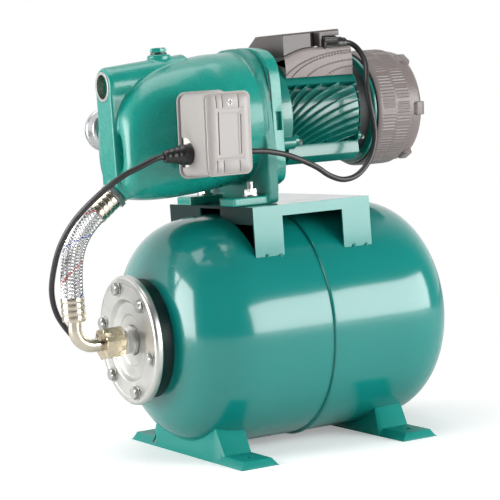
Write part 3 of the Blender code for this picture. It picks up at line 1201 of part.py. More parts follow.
def build_terminal_box():
    """The ridged saddle on the barrel, the box over it, the run capacitor and the cable gland."""
    saddle_radius = HOUSING_RADIUS + FIN_HEIGHT + RUNNING_GAP
    crown = HOUSING_RADIUS + GAP
    outline = [(-SADDLE_HALF_WIDTH, SADDLE_SKIRT_Z), (-SADDLE_HALF_WIDTH + 0.012, SADDLE_TOP_Z)]
    outline += [(SADDLE_HALF_WIDTH - 0.012, SADDLE_TOP_Z), (SADDLE_HALF_WIDTH, SADDLE_SKIRT_Z)]
    bm = bmesh.new()
    add_prism(bm, outline, SADDLE_FRONT_X, SADDLE_REAR_X, "X")
    saddle = make_object("terminal_saddle", bm, GREY_PLASTIC)
    cut_turned(saddle, rod(saddle_radius, 0.3, -0.1), shaft_point(0), X_AXIS, 32)
    seat = []
    for y in (-0.020, 0.020):
        foot = bmesh.new()
        low = SHAFT_Z + math.sqrt(crown ** 2 - (abs(y) - 0.006) ** 2) + GAP
        add_box(foot, (SADDLE_FRONT_X + 0.006, y - 0.006, low),
                (SADDLE_REAR_X - 0.006, y + 0.006, SADDLE_TOP_Z - 0.001))
        seat.append(foot)
    for i, foot in enumerate(seat):
        combine(saddle, guide("saddle_rib_%d" % i, foot), "UNION")

    base_z = SADDLE_TOP_Z + GAP
    over_plate = shaft_point(0, 0, CASING_FLANGE_RADIUS + GAP).z
    over_drum = shaft_point(0, 0, DRUM_RADIUS + 0.002 + GAP).z
    plate_end = PLATE_X + PLATE_THICKNESS + GAP
    drum_end = DRUM_END_X + 0.002
    outline = [(BOX_FRONT_X, over_plate), (plate_end, over_plate)]
    outline += [(plate_end, over_drum), (drum_end, over_drum)]
    outline += [(drum_end, base_z), (BOX_REAR_X, base_z), (BOX_REAR_X, BOX_TOP_Z - 0.004)]
    outline += [(BOX_REAR_X - 0.003, BOX_TOP_Z + 0.0015), (BOX_FRONT_X + BOX_NOSE, BOX_TOP_Z)]
    outline += [(BOX_FRONT_X, BOX_TOP_Z - BOX_NOSE / 2)]
    bm = bmesh.new()
    add_prism(bm, outline, -BOX_HALF_WIDTH, BOX_HALF_WIDTH, "Y")
    box = make_object("terminal_box", bm, GREY_PLASTIC)
    room_front = drum_end + BOX_WALL
    cut_box(box, (room_front, -BOX_HALF_WIDTH + BOX_WALL, base_z + BOX_WALL),
            (BOX_REAR_X - BOX_WALL, BOX_HALF_WIDTH - BOX_WALL, BOX_TOP_Z - BOX_WALL))
    cut_box(box, (room_front + 0.03, -0.008, base_z - 0.001),
            (room_front + 0.045, 0.008, base_z + 2 * BOX_WALL))
    gland_at = Vector((BOX_REAR_X, MOTOR_GLAND_Y, MOTOR_GLAND_Z))
    cut_turned(box, rod(CORD_RADIUS + 0.002, 0.02, -0.01), gland_at, X_AXIS, 12)

    shelf_z = base_z + BOX_WALL + GAP + CAPACITOR_RADIUS
    can_x = (room_front + BOX_REAR_X - BOX_WALL) / 2
    can = [(0, 0), (0, CAPACITOR_RADIUS), (CAPACITOR_LENGTH, CAPACITOR_RADIUS), (CAPACITOR_LENGTH, 0)]
    can_at = Vector((can_x - CAPACITOR_LENGTH / 2, 0.018, shelf_z))
    turned("run_capacitor", can, can_at, X_AXIS, 16, PALE_PLASTIC)

    radius = MOTOR_GLAND_RADIUS
    bore = CORD_RADIUS + GAP
    gland = [(GAP, bore), (GAP, radius * 0.82), (0.004, radius * 0.82), (0.004, radius)]
    gland += [(0.014, radius), (0.015, radius * 0.9), (MOTOR_GLAND_LENGTH - 0.003, radius * 0.78)]
    gland += [(MOTOR_GLAND_LENGTH, radius * 0.62), (MOTOR_GLAND_LENGTH, bore)]
    turned("motor_cable_gland", gland, gland_at, X_AXIS, 12, BLACK_RUBBER, closed=True)


# Pressure switch and gauge

def build_switch():
    """The pressure switch: base with nipple and gland plate, notched cover, screw, gland and lever."""
    middle_x = SWITCH_FRONT_X + SWITCH_WIDTH / 2
    middle_z = SWITCH_BOTTOM_Z + SWITCH_HEIGHT / 2
    half_w, half_h = SWITCH_WIDTH / 2, SWITCH_HEIGHT / 2
    outline = [(middle_x + a, middle_z + b) for a, b in rounded_rectangle(half_w, half_h, SWITCH_CORNER)]
    base_front = SWITCH_BACK_Y - SWITCH_BASE_DEPTH
    bm = bmesh.new()
    add_prism(bm, outline, base_front, SWITCH_BACK_Y, "Y")
    base = make_object("switch_base", bm, PALE_PLASTIC)
    plate_x = SWITCH_FRONT_X + SWITCH_WALL + GAP
    gland_y = SWITCH_BACK_Y - SWITCH_GLAND_DEPTH
    bm = bmesh.new()
    add_box(bm, (plate_x, gland_y - 0.020, NOTCH_Z - NOTCH_RADIUS - 0.0012),
            (plate_x + 0.003, base_front + 0.001, NOTCH_Z + NOTCH_RADIUS + 0.0012))
    combine(base, guide("switch_gland_plate", bm), "UNION")
    gland_at = Vector((plate_x + 0.004, gland_y, SWITCH_GLAND_Z))
    cut_turned(base, rod(CORD_RADIUS + 0.003, 0.012, -0.002), gland_at, -X_AXIS, 12)
    nipple_at = Vector((SWITCH_NIPPLE_X, SWITCH_BACK_Y, SWITCH_NIPPLE_Z))
    nipple = rod(NIPPLE_ROD_RADIUS, NIPPLE_ROD_LENGTH + 0.002, -NIPPLE_ROD_LENGTH)
    join_turned(base, nipple, nipple_at, -Y_AXIS, 14)
    cut_turned(base, rod(0.0035, 0.06, -0.03), nipple_at, -Y_AXIS, 10)

    front = -SWITCH_COVER_REACH
    rings = []
    rounding = ((base_front - GAP, 0.0), (front + 0.005, 0.0006), (front + 0.0012, 0.002), (front, 0.0045))
    for y, inset in rounding:
        ring = rounded_rectangle(half_w - inset, half_h - inset, SWITCH_CORNER)
        rings.append([Vector((middle_x + a, y, middle_z + b)) for a, b in ring])
    bm = bmesh.new()
    add_loft(bm, rings)
    cover = make_object("switch_cover", bm, PALE_PLASTIC)
    inner = rounded_rectangle(half_w - SWITCH_WALL, half_h - SWITCH_WALL, SWITCH_CORNER - SWITCH_WALL)
    bm = bmesh.new()
    add_prism(bm, [(middle_x + a, middle_z + b) for a, b in inner], front + 0.0045, base_front + 0.01, "Y")
    combine(cover, guide("switch_cover_hollow", bm))
    notch_y = SWITCH_BACK_Y - NOTCH_DEPTH
    notch = [(base_front + 0.01, NOTCH_Z + NOTCH_RADIUS), (base_front + 0.01, NOTCH_Z - NOTCH_RADIUS)]
    for i in range(9):
        angle = math.radians(270 - 180 * i / 8)
        notch.append((notch_y + NOTCH_RADIUS * math.cos(angle), NOTCH_Z + NOTCH_RADIUS * math.sin(angle)))
    bm = bmesh.new()
    add_prism(bm, notch, SWITCH_FRONT_X - 0.01, SWITCH_FRONT_X + SWITCH_WALL + GAP / 2, "X")
    combine(cover, guide("switch_notch", bm))
    panel = (middle_x + 0.004, middle_z - 0.001)
    cut_box(cover, (panel[0] - 0.0155, front - 0.01, panel[1] - 0.0255),
            (panel[0] + 0.0155, front + 0.0008, panel[1] + 0.0245))
    screw_at = Vector((middle_x + 0.006, front, middle_z + 0.034))
    cut_turned(cover, rod(COVER_SCREW_RADIUS + 0.001, 0.02, -0.002), screw_at, Y_AXIS, 14)
    screw = [(0.0008, 0), (0.0008, COVER_SCREW_RADIUS), (0.004, COVER_SCREW_RADIUS), (0.004, 0.002)]
    screw += [(-front + base_front - GAP, 0.002), (-front + base_front - GAP, 0)]
    turned("switch_cover_screw", screw, screw_at, Y_AXIS, 14, STEEL)

    radius = SWITCH_GLAND_RADIUS
    bore = CORD_RADIUS + GAP
    gland = [(0.0043, bore), (0.0043, radius + 0.001), (0.0075, radius + 0.001), (0.0075, radius)]
    gland += [(0.018, radius), (0.019, radius * 0.9), (0.024, radius * 0.72)]
    gland += [(0.0045 + SWITCH_GLAND_LENGTH, radius * 0.52), (0.0045 + SWITCH_GLAND_LENGTH, bore)]
    turned("switch_cable_gland", gland, gland_at, -X_AXIS, 14, BLACK_RUBBER, closed=True)

    lever_y = base_front - LEVER_STANDOFF
    hinge_z = SWITCH_NIPPLE_Z + LEVER_LENGTH * 0.5
    hinge = pivot("lever_hinge", Vector((SWITCH_NIPPLE_X, lever_y - 0.001, hinge_z)))
    bm = bmesh.new()
    add_box(bm, (SWITCH_NIPPLE_X - 0.010, lever_y - 0.002, hinge_z - LEVER_LENGTH),
            (SWITCH_NIPPLE_X + 0.010, lever_y, hinge_z + 0.001))
    lever = make_object("contact_lever", bm, BRASS, hinge)
    bm = bmesh.new()
    add_turned(bm, rod(0.002, 0.026, -0.013), hinge.location, X_AXIS, 10)
    combine(lever, guide("lever_pin", bm, hinge), "UNION")
    for end in (-1, 1):
        post_x = SWITCH_NIPPLE_X + end * (0.013 + GAP + 0.0012)
        bm = bmesh.new()
        add_box(bm, (post_x - 0.0012, lever_y - 0.004, hinge_z - 0.004),
                (post_x + 0.0012, base_front + 0.001, hinge_z + 0.004))
        combine(base, guide("lever_post", bm), "UNION")


def build_gauge():
    """A round case on a stem, its pointer on the gauge's axis, and its window."""
    centre = Vector((GAUGE_X, 0, GAUGE_Z))
    back, front = GAUGE_BACK_Y, GAUGE_BACK_Y + GAUGE_DEPTH
    dial = front - 0.007
    inner = GAUGE_RADIUS - GAUGE_WALL
    case = [(back - 0.020, 0), (back - 0.020, GAUGE_STEM_RADIUS), (back, GAUGE_STEM_RADIUS)]
    case += [(back, GAUGE_RADIUS - 0.004), (back + 0.003, GAUGE_RADIUS - 0.001)]
    case += [(front - 0.006, GAUGE_RADIUS - 0.001), (front - 0.005, GAUGE_RADIUS)]
    case += [(front, GAUGE_RADIUS), (front, inner - 0.001), (front - 0.001, inner - 0.001)]
    case += [(front - 0.001, inner), (dial, inner), (dial, 0)]
    turned("gauge_case", case, centre, Y_AXIS, 20, STAINLESS, closed=False)
    pane = front - 0.001 - GAP
    lens = [(front - 0.0028, 0), (front - 0.0028, inner - GAP), (pane, inner - GAP), (pane, 0)]
    turned("gauge_lens", lens, centre, Y_AXIS, 20, CLEAR)
    hub = centre + Y_AXIS * (dial + GAP)
    axis = pivot("needle_axis", hub)
    bm = bmesh.new()
    add_turned(bm, [(0, 0), (0, 0.0028), (0.0032, 0.0028), (0.0032, 0)], hub, Y_AXIS, 12)
    needle = make_object("gauge_needle", bm, BLACK_RUBBER, axis)
    bm = bmesh.new()
    pointer = [(-0.0011, -0.006), (0.0011, -0.006), (0.0004, 0.017), (-0.0004, 0.017)]
    turn = math.radians(135)
    swing = [(hub.x + a * math.cos(turn) + b * math.sin(turn),
              hub.z - a * math.sin(turn) + b * math.cos(turn)) for a, b in pointer]
    add_prism(bm, swing, hub.y + 0.001, hub.y + 0.0022, "Y")
    combine(needle, guide("gauge_pointer", bm, axis), "UNION")


# Hose line

def build_hose(nut_back, nipple_out):
    """Port nut, two crimped ferrules, braided hose, bent elbow pipe and union nut."""
    tilt = Vector((-math.cos(HOSE_ANGLE), 0, -math.sin(HOSE_ANGLE)))
    seat = Vector((HOSE_PORT_X, 0, HOSE_PORT_Z))
    nut = [(GAP, 0), (GAP, PORT_NUT_RADIUS), (PORT_NUT_HEIGHT, PORT_NUT_RADIUS), (PORT_NUT_HEIGHT, 0)]
    ring = turned("hose_port_nut", nut, seat, tilt, 6, ZINC)
    cut_turned(ring, rod(ELBOW_PIPE_BORE, 0.03, -0.01), seat, tilt, 16)

    socket = HOSE_RADIUS + GAP
    throat = ELBOW_PIPE_RADIUS + GAP
    sleeve = [(0, FERRULE_RADIUS - 0.001), (0.001, FERRULE_RADIUS), (FERRULE_LENGTH, FERRULE_RADIUS)]
    sleeve += [(FERRULE_LENGTH, socket), (0.002, socket), (0.002, throat), (0, throat)]
    top = seat + tilt * (PORT_NUT_HEIGHT + GAP)
    turned("upper_ferrule", sleeve, top, tilt, 16, NICKEL, closed=True)
    bottom = Vector((HOSE_LEG_X, 0, FERRULE_BOTTOM_Z))
    turned("lower_ferrule", sleeve, bottom, Z_AXIS, 16, NICKEL, closed=True)

    start = top + tilt * (0.002 + GAP)
    mouth = top + tilt * FERRULE_LENGTH
    end = bottom + Z_AXIS * (0.002 + GAP)
    low_mouth = bottom + Z_AXIS * FERRULE_LENGTH
    upper = [start, mouth + tilt * 0.003]
    lower = [low_mouth + Z_AXIS * 0.003, end]
    reach = (lower[0] - upper[1]).length
    bend = []
    for i in range(1, 10):
        t = i / 10
        a, b = upper[1], upper[1] + tilt * reach * 0.42
        c, d = lower[0] + Z_AXIS * reach * 0.42, lower[0]
        bend.append(a * (1 - t) ** 3 + b * 3 * t * (1 - t) ** 2 + c * 3 * t * t * (1 - t) + d * t ** 3)
    route = [start, upper[1]] + bend + [lower[0], end]
    bm = bmesh.new()
    add_pipe(bm, route, HOSE_RADIUS, HOSE_BORE, 14)
    make_object("braided_hose", bm, STAINLESS)

    pipe = [bottom + Z_AXIS * 0.018, bottom, Vector((HOSE_LEG_X, 0, TANK_Z + ELBOW_BEND))]
    for i in range(1, 7):
        angle = math.radians(90 * i / 6)
        pipe.append(Vector((HOSE_LEG_X + ELBOW_BEND * (1 - math.cos(angle)), 0,
                            TANK_Z + ELBOW_BEND * (1 - math.sin(angle)))))
    collar_x = -nipple_out - GAP - COLLAR_THICKNESS
    pipe.append(Vector((collar_x + COLLAR_THICKNESS, 0, TANK_Z)))
    bm = bmesh.new()
    add_pipe(bm, pipe, ELBOW_PIPE_RADIUS, ELBOW_PIPE_BORE, 12)
    elbow = make_object("elbow_pipe", bm, NICKEL)
    collar = tube_profile(NIPPLE_END_RADIUS, ELBOW_PIPE_BORE + 0.0005, COLLAR_THICKNESS)
    join_turned(elbow, collar, Vector((collar_x, 0, TANK_Z)), X_AXIS, 16, closed=True)

    nut_front = nut_back + UNION_NUT_LENGTH
    body = [(nut_back, 0), (nut_back, UNION_NUT_RADIUS), (nut_front, UNION_NUT_RADIUS), (nut_front, 0)]
    union = turned("union_nut", body, TANK_CENTRE, -X_AXIS, 6, BRASS, start=math.radians(12))
    pipe_hole = rod(ELBOW_PIPE_RADIUS + GAP, UNION_NUT_LENGTH + 0.01, nut_back)
    cut_turned(union, pipe_hole, TANK_CENTRE, -X_AXIS, 16)
    pocket = nipple_out + GAP + COLLAR_THICKNESS + GAP - nut_back
    nipple_hole = rod(NIPPLE_END_RADIUS + GAP, pocket + 0.002, nut_back - 0.002)
    cut_turned(union, nipple_hole, TANK_CENTRE, -X_AXIS, 18)


# Cords

MOTOR_CORD_ROUTE = (
    (0.1156, -0.0280, 0.4680), (0.1215, -0.0288, 0.4674), (0.1290, -0.0350, 0.4600),
    (0.1335, -0.0480, 0.4450),
    (0.1330, -0.0680, 0.4200), (0.1240, -0.0820, 0.3900), (0.1080, -0.0900, 0.3620),
    (0.0820, -0.0950, 0.3400), (0.0500, -0.0980, 0.3300), (0.0200, -0.1000, 0.3340),
    (-0.0100, -0.1010, 0.3440), (-0.0400, -0.1020, 0.3530), (-0.0650, -0.1030, 0.3560),
    (-0.0820, -0.1035, 0.3550), (-0.0893, -0.1035, 0.3545),
)
MAINS_CORD_ROUTE = (
    (-0.1790, -0.0980, 0.3520), (-0.1900, -0.0980, 0.3510), (-0.2060, -0.0930, 0.3440),
    (-0.2260, -0.0800, 0.3330), (-0.2480, -0.0600, 0.3130), (-0.2660, -0.0360, 0.2880),
    (-0.2770, -0.0160, 0.2600), (-0.2800, 0.0020, 0.2300), (-0.2780, 0.0160, 0.2040),
    (-0.2690, 0.0270, 0.1790), (-0.2510, 0.0390, 0.1560), (-0.2290, 0.0580, 0.1400),
    (-0.2030, 0.0830, 0.1330), (-0.1730, 0.1080, 0.1310), (-0.1420, 0.1280, 0.1290),
    (-0.1100, 0.1395, 0.1180), (-0.0820, 0.1440, 0.0930), (-0.0600, 0.1455, 0.0600),
    (-0.0420, 0.1470, 0.0280), (-0.0250, 0.1460, 0.0085), (-0.0060, 0.1390, 0.0036), (0.0113, 0.1310, 0.0036),
)


def build_cords():
    """Motor lead, mains lead with its unseen length in a floor coil, and the mains plug."""
    cord_tube("motor_cord", MOTOR_CORD_ROUTE, CORD_RADIUS, BLACK_RUBBER)
    cord_tube("mains_cord", MAINS_CORD_ROUTE, CORD_RADIUS, BLACK_RUBBER)
    centre = Vector((COIL_X, COIL_Y, COIL_TUBE_RADIUS))
    section = []
    for i in range(8):
        angle = 2 * math.pi * (i + 0.5) / 8
        section.append((COIL_TUBE_RADIUS * math.cos(angle),
                        COIL_RING_RADIUS + COIL_TUBE_RADIUS * math.sin(angle)))
    turned("mains_cord_coil", section[::-1], centre, Z_AXIS, 24, BLACK_RUBBER, closed=True)

    inner_edge = COIL_RING_RADIUS - PLUG_RELIEF_RADIUS / 2
    coil_edge = math.sqrt((COIL_RING_RADIUS + COIL_TUBE_RADIUS) ** 2 - inner_edge ** 2)
    entry = Vector((COIL_X + COIL_RING_RADIUS, COIL_Y + coil_edge + GAP, PLUG_HEIGHT / 2))
    rings = []
    stations = ((PLUG_RELIEF_LENGTH - 0.004, 0.010, 0.008), (PLUG_RELIEF_LENGTH, 0.0145, 0.0105),
                (PLUG_RELIEF_LENGTH + 0.008, PLUG_WIDTH / 2, PLUG_HEIGHT / 2),
                (PLUG_RELIEF_LENGTH + PLUG_LENGTH, PLUG_WIDTH / 2, PLUG_HEIGHT / 2))
    for along, half_x, half_z in stations:
        ring = rounded_rectangle(half_x, half_z, min(half_x, half_z) * 0.6)
        rings.append([entry + Vector((a, along, b)) for a, b in ring])
    bm = bmesh.new()
    add_loft(bm, rings)
    plug = make_object("mains_plug", bm, BLACK_RUBBER)
    relief = [(0, 0), (0, PLUG_RELIEF_RADIUS)]
    relief += [(PLUG_RELIEF_LENGTH, PLUG_RELIEF_RADIUS * 1.5), (PLUG_RELIEF_LENGTH, 0)]
    join_turned(plug, relief, entry, Y_AXIS, 12)
    for side in (-1, 1):
        base = entry + Vector((side * PIN_SPACING / 2, PLUG_RELIEF_LENGTH + PLUG_LENGTH, 0))
        join_turned(plug, rod(PIN_RADIUS, PIN_LENGTH + 0.002, -0.002), base, Y_AXIS, 10)


def build_foot_bolts():
    """The two studs that hold the casing's foot to the bracket, each with its washer and nut."""
    seat = BRACKET_TOP + GAP + CASING_FOOT_THICKNESS + GAP
    for name, side in (("foot_bolt_near", -1), ("foot_bolt_far", 1)):
        place = Vector((FOOT_BOLT_X, side * FOOT_BOLT_Y, 0))
        washer = [(seat, 0), (seat, FOOT_WASHER_RADIUS), (seat + FOOT_WASHER_THICKNESS, FOOT_WASHER_RADIUS)]
        washer += [(seat + FOOT_WASHER_THICKNESS, 0)]
        bolt = turned(name, washer, place, Z_AXIS, 16, ZINC)
        nut_base = seat + FOOT_WASHER_THICKNESS - 0.0005
        join_turned(bolt, rod(FOOT_NUT_RADIUS, FOOT_NUT_HEIGHT + 0.0005, nut_base), place, Z_AXIS, 6)
        low = BRACKET_TOP - BRACKET_SHEET - FOOT_NUT_HEIGHT - 0.002
        join_turned(bolt, rod(FOOT_BOLT_RADIUS, seat + FOOT_BOLT_RISE - low, low), place, Z_AXIS, 10)
        under = BRACKET_TOP - BRACKET_SHEET - GAP - FOOT_NUT_HEIGHT
        join_turned(bolt, rod(FOOT_NUT_RADIUS, FOOT_NUT_HEIGHT, under), place, Z_AXIS, 6)


tank_end = build_tank()
build_valve_cap(tank_end)
union_back, union_seat = build_flange()
build_foot("tank_foot_front", FRONT_FOOT_X)
build_foot("tank_foot_rear", REAR_FOOT_X)
build_bracket()
build_casing()
build_port()
build_filler()
shaft_axis = pivot("shaft_axis", shaft_point(0))
seal_end = build_works(shaft_axis)
build_motor_bracket(seal_end)
build_housing()
build_motor(shaft_axis)
build_fan_cover()
build_terminal_box()
build_switch()
build_gauge()
build_hose(union_back, union_seat)
build_foot_bolts()
build_cords()
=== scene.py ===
# %% [markdown]
# # A booster pump set, dressed
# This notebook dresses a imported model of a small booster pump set: a jet pump and its motor stand on
# a horizontal steel tank, and a braided hose joins the two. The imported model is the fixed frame. Each
# cell says what a piece is on the real set and then makes its surface, from numpy arrays where the
# shape follows a formula.

# %% Load the frame
import json
import math

import bmesh
import bpy
import numpy as np
from mathutils import Matrix, Vector

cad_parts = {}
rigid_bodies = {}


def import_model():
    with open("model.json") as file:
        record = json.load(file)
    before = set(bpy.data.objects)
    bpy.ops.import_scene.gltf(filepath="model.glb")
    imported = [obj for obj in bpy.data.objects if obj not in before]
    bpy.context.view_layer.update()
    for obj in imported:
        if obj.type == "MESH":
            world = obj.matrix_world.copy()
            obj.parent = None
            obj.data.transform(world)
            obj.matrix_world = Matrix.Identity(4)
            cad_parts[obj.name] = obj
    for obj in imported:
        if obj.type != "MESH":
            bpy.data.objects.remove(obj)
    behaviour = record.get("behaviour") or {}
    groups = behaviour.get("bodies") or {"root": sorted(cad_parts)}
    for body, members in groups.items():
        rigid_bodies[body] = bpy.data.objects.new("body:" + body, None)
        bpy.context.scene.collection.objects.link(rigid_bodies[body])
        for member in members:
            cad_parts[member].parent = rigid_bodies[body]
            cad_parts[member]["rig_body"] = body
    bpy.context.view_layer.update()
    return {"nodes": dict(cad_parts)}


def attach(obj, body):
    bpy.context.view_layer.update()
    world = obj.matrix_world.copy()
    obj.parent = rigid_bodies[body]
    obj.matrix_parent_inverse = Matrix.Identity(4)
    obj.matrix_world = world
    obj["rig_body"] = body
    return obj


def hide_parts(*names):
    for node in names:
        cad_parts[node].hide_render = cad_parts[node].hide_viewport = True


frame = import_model()

# %% [markdown]
# Lengths along the set are counted from the tank's weld seam, because the seam is what a fitter
# measures from. One value moves them into the frame.

# %% Driving sizes
SEAM_X = 0.02055
SEAM = np.array([SEAM_X, 0.0, 0.0])
TANK_Z = 0.142
TANK_RADIUS = 0.135
SHAFT_Z = 0.387
CORD_RADIUS = 0.00325
X_AXIS, Y_AXIS, Z_AXIS = Vector((1, 0, 0)), Vector((0, 1, 0)), Vector((0, 0, 1))
TANK_CENTRE = Vector((0, 0, TANK_Z))


def on_shaft(x, y=0.0, z=0.0):
    """A point given from the pump's shaft line."""
    return Vector((x, y, SHAFT_Z + z))


# %% [markdown]
# ## Camera
# The camera stands a little to the pump's side of the set and just above it. A long lens keeps the
# ellipses of the tank and the flange narrow. Its turn is written as three angles, and the two cross
# directions are turned by the roll.

# %% Camera
CAMERA_AZIMUTH = math.radians(-29.09)
CAMERA_ELEVATION = math.radians(4.87)
CAMERA_ROLL = math.radians(-4.05)
CAMERA_PLACE = (-1.08411, -1.93712, 0.41811)
LENS_MM = 134.86
SENSOR_MM = 36.0


def make_camera():
    """The camera, with its axes worked out from azimuth, elevation and roll."""
    a, e, r = CAMERA_AZIMUTH, CAMERA_ELEVATION, CAMERA_ROLL
    back = Vector((math.sin(a) * math.cos(e), -math.cos(a) * math.cos(e), math.sin(e)))
    level = Vector((math.cos(a), math.sin(a), 0))
    up = back.cross(level)
    right = level * math.cos(r) + up * math.sin(r)
    top = up * math.cos(r) - level * math.sin(r)
    data = bpy.data.cameras.new("camera")
    data.lens, data.sensor_width = LENS_MM, SENSOR_MM
    data.clip_start, data.clip_end = 0.05, 40
    camera = bpy.data.objects.new("camera", data)
    camera.matrix_world = Matrix.Translation(CAMERA_PLACE) @ Matrix((right, top, back)).transposed().to_4x4()
    bpy.context.scene.collection.objects.link(camera)
    bpy.context.scene.camera = camera


make_camera()
bpy.context.scene.view_settings.view_transform = "Standard"

# %% [markdown]
# ## Surfaces from arrays
# Most pieces here are a grid of points, closed round one way or both. One helper numbers the grid's
# quads, one turns a profile about a line, one carries a circle along a path, and one lofts rings. Each
# returns its points and its quads, so that several can be joined into one piece.

# %% Grid helpers


def grid(points, wrap_rows=False, wrap_cols=True):
    """The quads of a grid of points: row i, column j joins its next row and its next column."""
    points = np.asarray(points, float)
    rows, cols = points.shape[:2]
    i, j = np.meshgrid(np.arange(rows if wrap_rows else rows - 1),
                       np.arange(cols if wrap_cols else cols - 1), indexing="ij")
    ni, nj = (i + 1) % rows, (j + 1) % cols
    quads = np.stack([i * cols + j, i * cols + nj, ni * cols + nj, ni * cols + j], -1)
    return points.reshape(-1, 3), quads.reshape(-1, 4)


def axes_along(direction):
    """Two cross directions and the direction itself, as the rows of an array."""
    turn = Vector(direction).normalized().to_track_quat("Z", "Y").to_matrix()
    return np.array(turn).T


def eased(profile, size, steps=3, closed=False):
    """The same profile with each corner replaced by a short parabola that starts 'size' before it."""
    knots = [np.array(p, float) for p in profile]
    count = len(knots)
    out = []
    for k, corner in enumerate(knots):
        if not closed and k in (0, count - 1):
            out.append(corner)
            continue
        before, after = knots[k - 1] - corner, knots[(k + 1) % count] - corner
        reach_b, reach_a = np.linalg.norm(before), np.linalg.norm(after)
        cut = min(size, 0.4 * reach_b, 0.4 * reach_a)
        if cut < 1e-6:
            out.append(corner)
            continue
        start, end = corner + before / reach_b * cut, corner + after / reach_a * cut
        for t in np.linspace(0, 1, steps + 1):
            out.append(start * (1 - t) ** 2 + corner * 2 * t * (1 - t) + end * t ** 2)
    return np.array(out)


def lathe(profile, origin, direction, segments=96, ease=0.0006, closed=False, ripple=None, start=0.0):
    """A profile of (distance along, radius) turned about a line.

    Point = origin + along * axis + radius * (cos(angle) * side + sin(angle) * up). The optional
    ripple gets the grids of distance and angle and returns what is added to the radius.
    """
    line = eased(profile, ease, closed=closed) if ease else np.array(profile, float)
    angle = start + np.linspace(0, 2 * np.pi, segments, endpoint=False)
    along, turn = np.meshgrid(line[:, 0], angle, indexing="ij")
    radius = np.repeat(line[:, 1:2], segments, axis=1)
    if ripple is not None:
        radius = np.where(radius > 1e-6, radius + ripple(along, turn), radius)
    side, up, axis = axes_along(direction)
    points = (np.array(origin) + along[..., None] * axis
              + (radius * np.cos(turn))[..., None] * side + (radius * np.sin(turn))[..., None] * up)
    return grid(points, wrap_rows=closed)


def nut(origin, direction, corner, low, high, bore=0.0, start=0.0, chamfer=0.0012, sides=6):
    """A hexagon with turned ends: its radius is the smaller of the hexagon's and the chamfer cone's."""
    angle = np.linspace(0, 2 * np.pi, sides * 16, endpoint=False)
    half = np.pi / sides
    flats = corner * math.cos(half) / np.cos((angle % (2 * half)) - half)
    flat = corner * math.cos(half)
    stations = [(low, bore), (low, flat - chamfer * 0.2), (low + chamfer * 0.45, corner),
                (high - chamfer * 0.45, corner), (high, flat - chamfer * 0.2), (high, bore)]
    line = np.array(stations)
    radius = np.minimum(line[:, 1:2], flats[None, :])
    turn = angle + start
    side, up, axis = axes_along(direction)
    points = (np.array(origin) + line[:, 0][:, None, None] * axis
              + (radius * np.cos(turn))[..., None] * side + (radius * np.sin(turn))[..., None] * up)
    return grid(points, wrap_rows=bore > 0)


def loft(rings, closed_ends=True):
    """A skin over rings of equal count; closed ends shrink to the ring's own middle."""
    rings = [np.asarray(r, float) for r in rings]
    if closed_ends:
        first, last = rings[0].mean(0), rings[-1].mean(0)
        rings = [rings[0] * 0 + first] + rings + [rings[-1] * 0 + last]
    return grid(np.array(rings))


def rounded_box_ring(half_a, half_b, corner, steps=6):
    """Points round a rectangle with round corners, as (a, b) pairs about its middle."""
    turn = np.linspace(0, np.pi / 2, steps + 1)
    out = []
    for quadrant, (sa, sb) in enumerate(((1, 1), (-1, 1), (-1, -1), (1, -1))):
        angle = turn + quadrant * np.pi / 2
        out.append(np.stack([sa * (half_a - corner) + corner * np.cos(angle),
                             sb * (half_b - corner) + corner * np.sin(angle)], -1))
    return np.concatenate(out)


def smooth_route(points, spacing):
    """Points about 'spacing' apart on a Catmull-Rom curve through the given ones."""
    p = np.asarray(points, float)
    p = np.vstack([2 * p[0] - p[1], p, 2 * p[-1] - p[-2]])
    out = []
    for a, b, c, d in zip(p, p[1:], p[2:], p[3:]):
        t = np.arange(max(1, round(np.linalg.norm(c - b) / spacing)))[:, None]
        t = t / max(1, len(t))
        out.append((2 * b + (c - a) * t + (2 * a - 5 * b + 4 * c - d) * t ** 2
                    + (3 * b - a - 3 * c + d) * t ** 3) / 2)
    return np.vstack(out + [p[-2:-1]])


def path_frames(path):
    """Two cross directions at every point of a path, carried along without twist."""
    ahead = np.gradient(np.asarray(path, float), axis=0)
    ahead /= np.linalg.norm(ahead, axis=1)[:, None]
    side = np.array(Vector(ahead[0]).orthogonal().normalized())
    sides = []
    for t in ahead:
        side = side - t * np.dot(side, t)
        side = side / np.linalg.norm(side)
        sides.append(side)
    sides = np.array(sides)
    return sides, np.cross(ahead, sides)


def tube(path, radius, segments=24, bore=None):
    """A circle carried along a path: point = path + radius * (cos * side + sin * up)."""
    path = np.asarray(path, float)
    side, up = path_frames(path)
    angle = np.linspace(0, 2 * np.pi, segments, endpoint=False)
    circle = np.cos(angle)[None, :, None] * side[:, None] + np.sin(angle)[None, :, None] * up[:, None]
    radius = np.broadcast_to(np.asarray(radius, float), (len(path),))
    outer = path[:, None] + circle * radius[:, None, None]
    if bore is None:
        ends = [np.broadcast_to(path[k], (segments, 3))[None] for k in (0, -1)]
        return grid(np.concatenate([ends[0], outer, ends[1]]))
    inner = path[:, None] + circle * bore
    return grid(np.concatenate([outer, inner[::-1]]), wrap_rows=True)


def prism(outline, low, high, axis="Y"):
    """An outline between two stations of an axis; its numbers are the other two coordinates."""
    flat = np.asarray(outline, float)
    order = {"X": (2, 0, 1), "Y": (0, 2, 1), "Z": (0, 1, 2)}[axis]
    rings = []
    for station in (low, high):
        cols = np.column_stack([flat, np.full(len(flat), station)])
        rings.append(cols[:, order])
    return rings


def block(x, y, z):
    """A closed box between pairs of stations on the three axes."""
    return loft(prism([(y[0], z[0]), (y[1], z[0]), (y[1], z[1]), (y[0], z[1])], x[0], x[1], "X"))


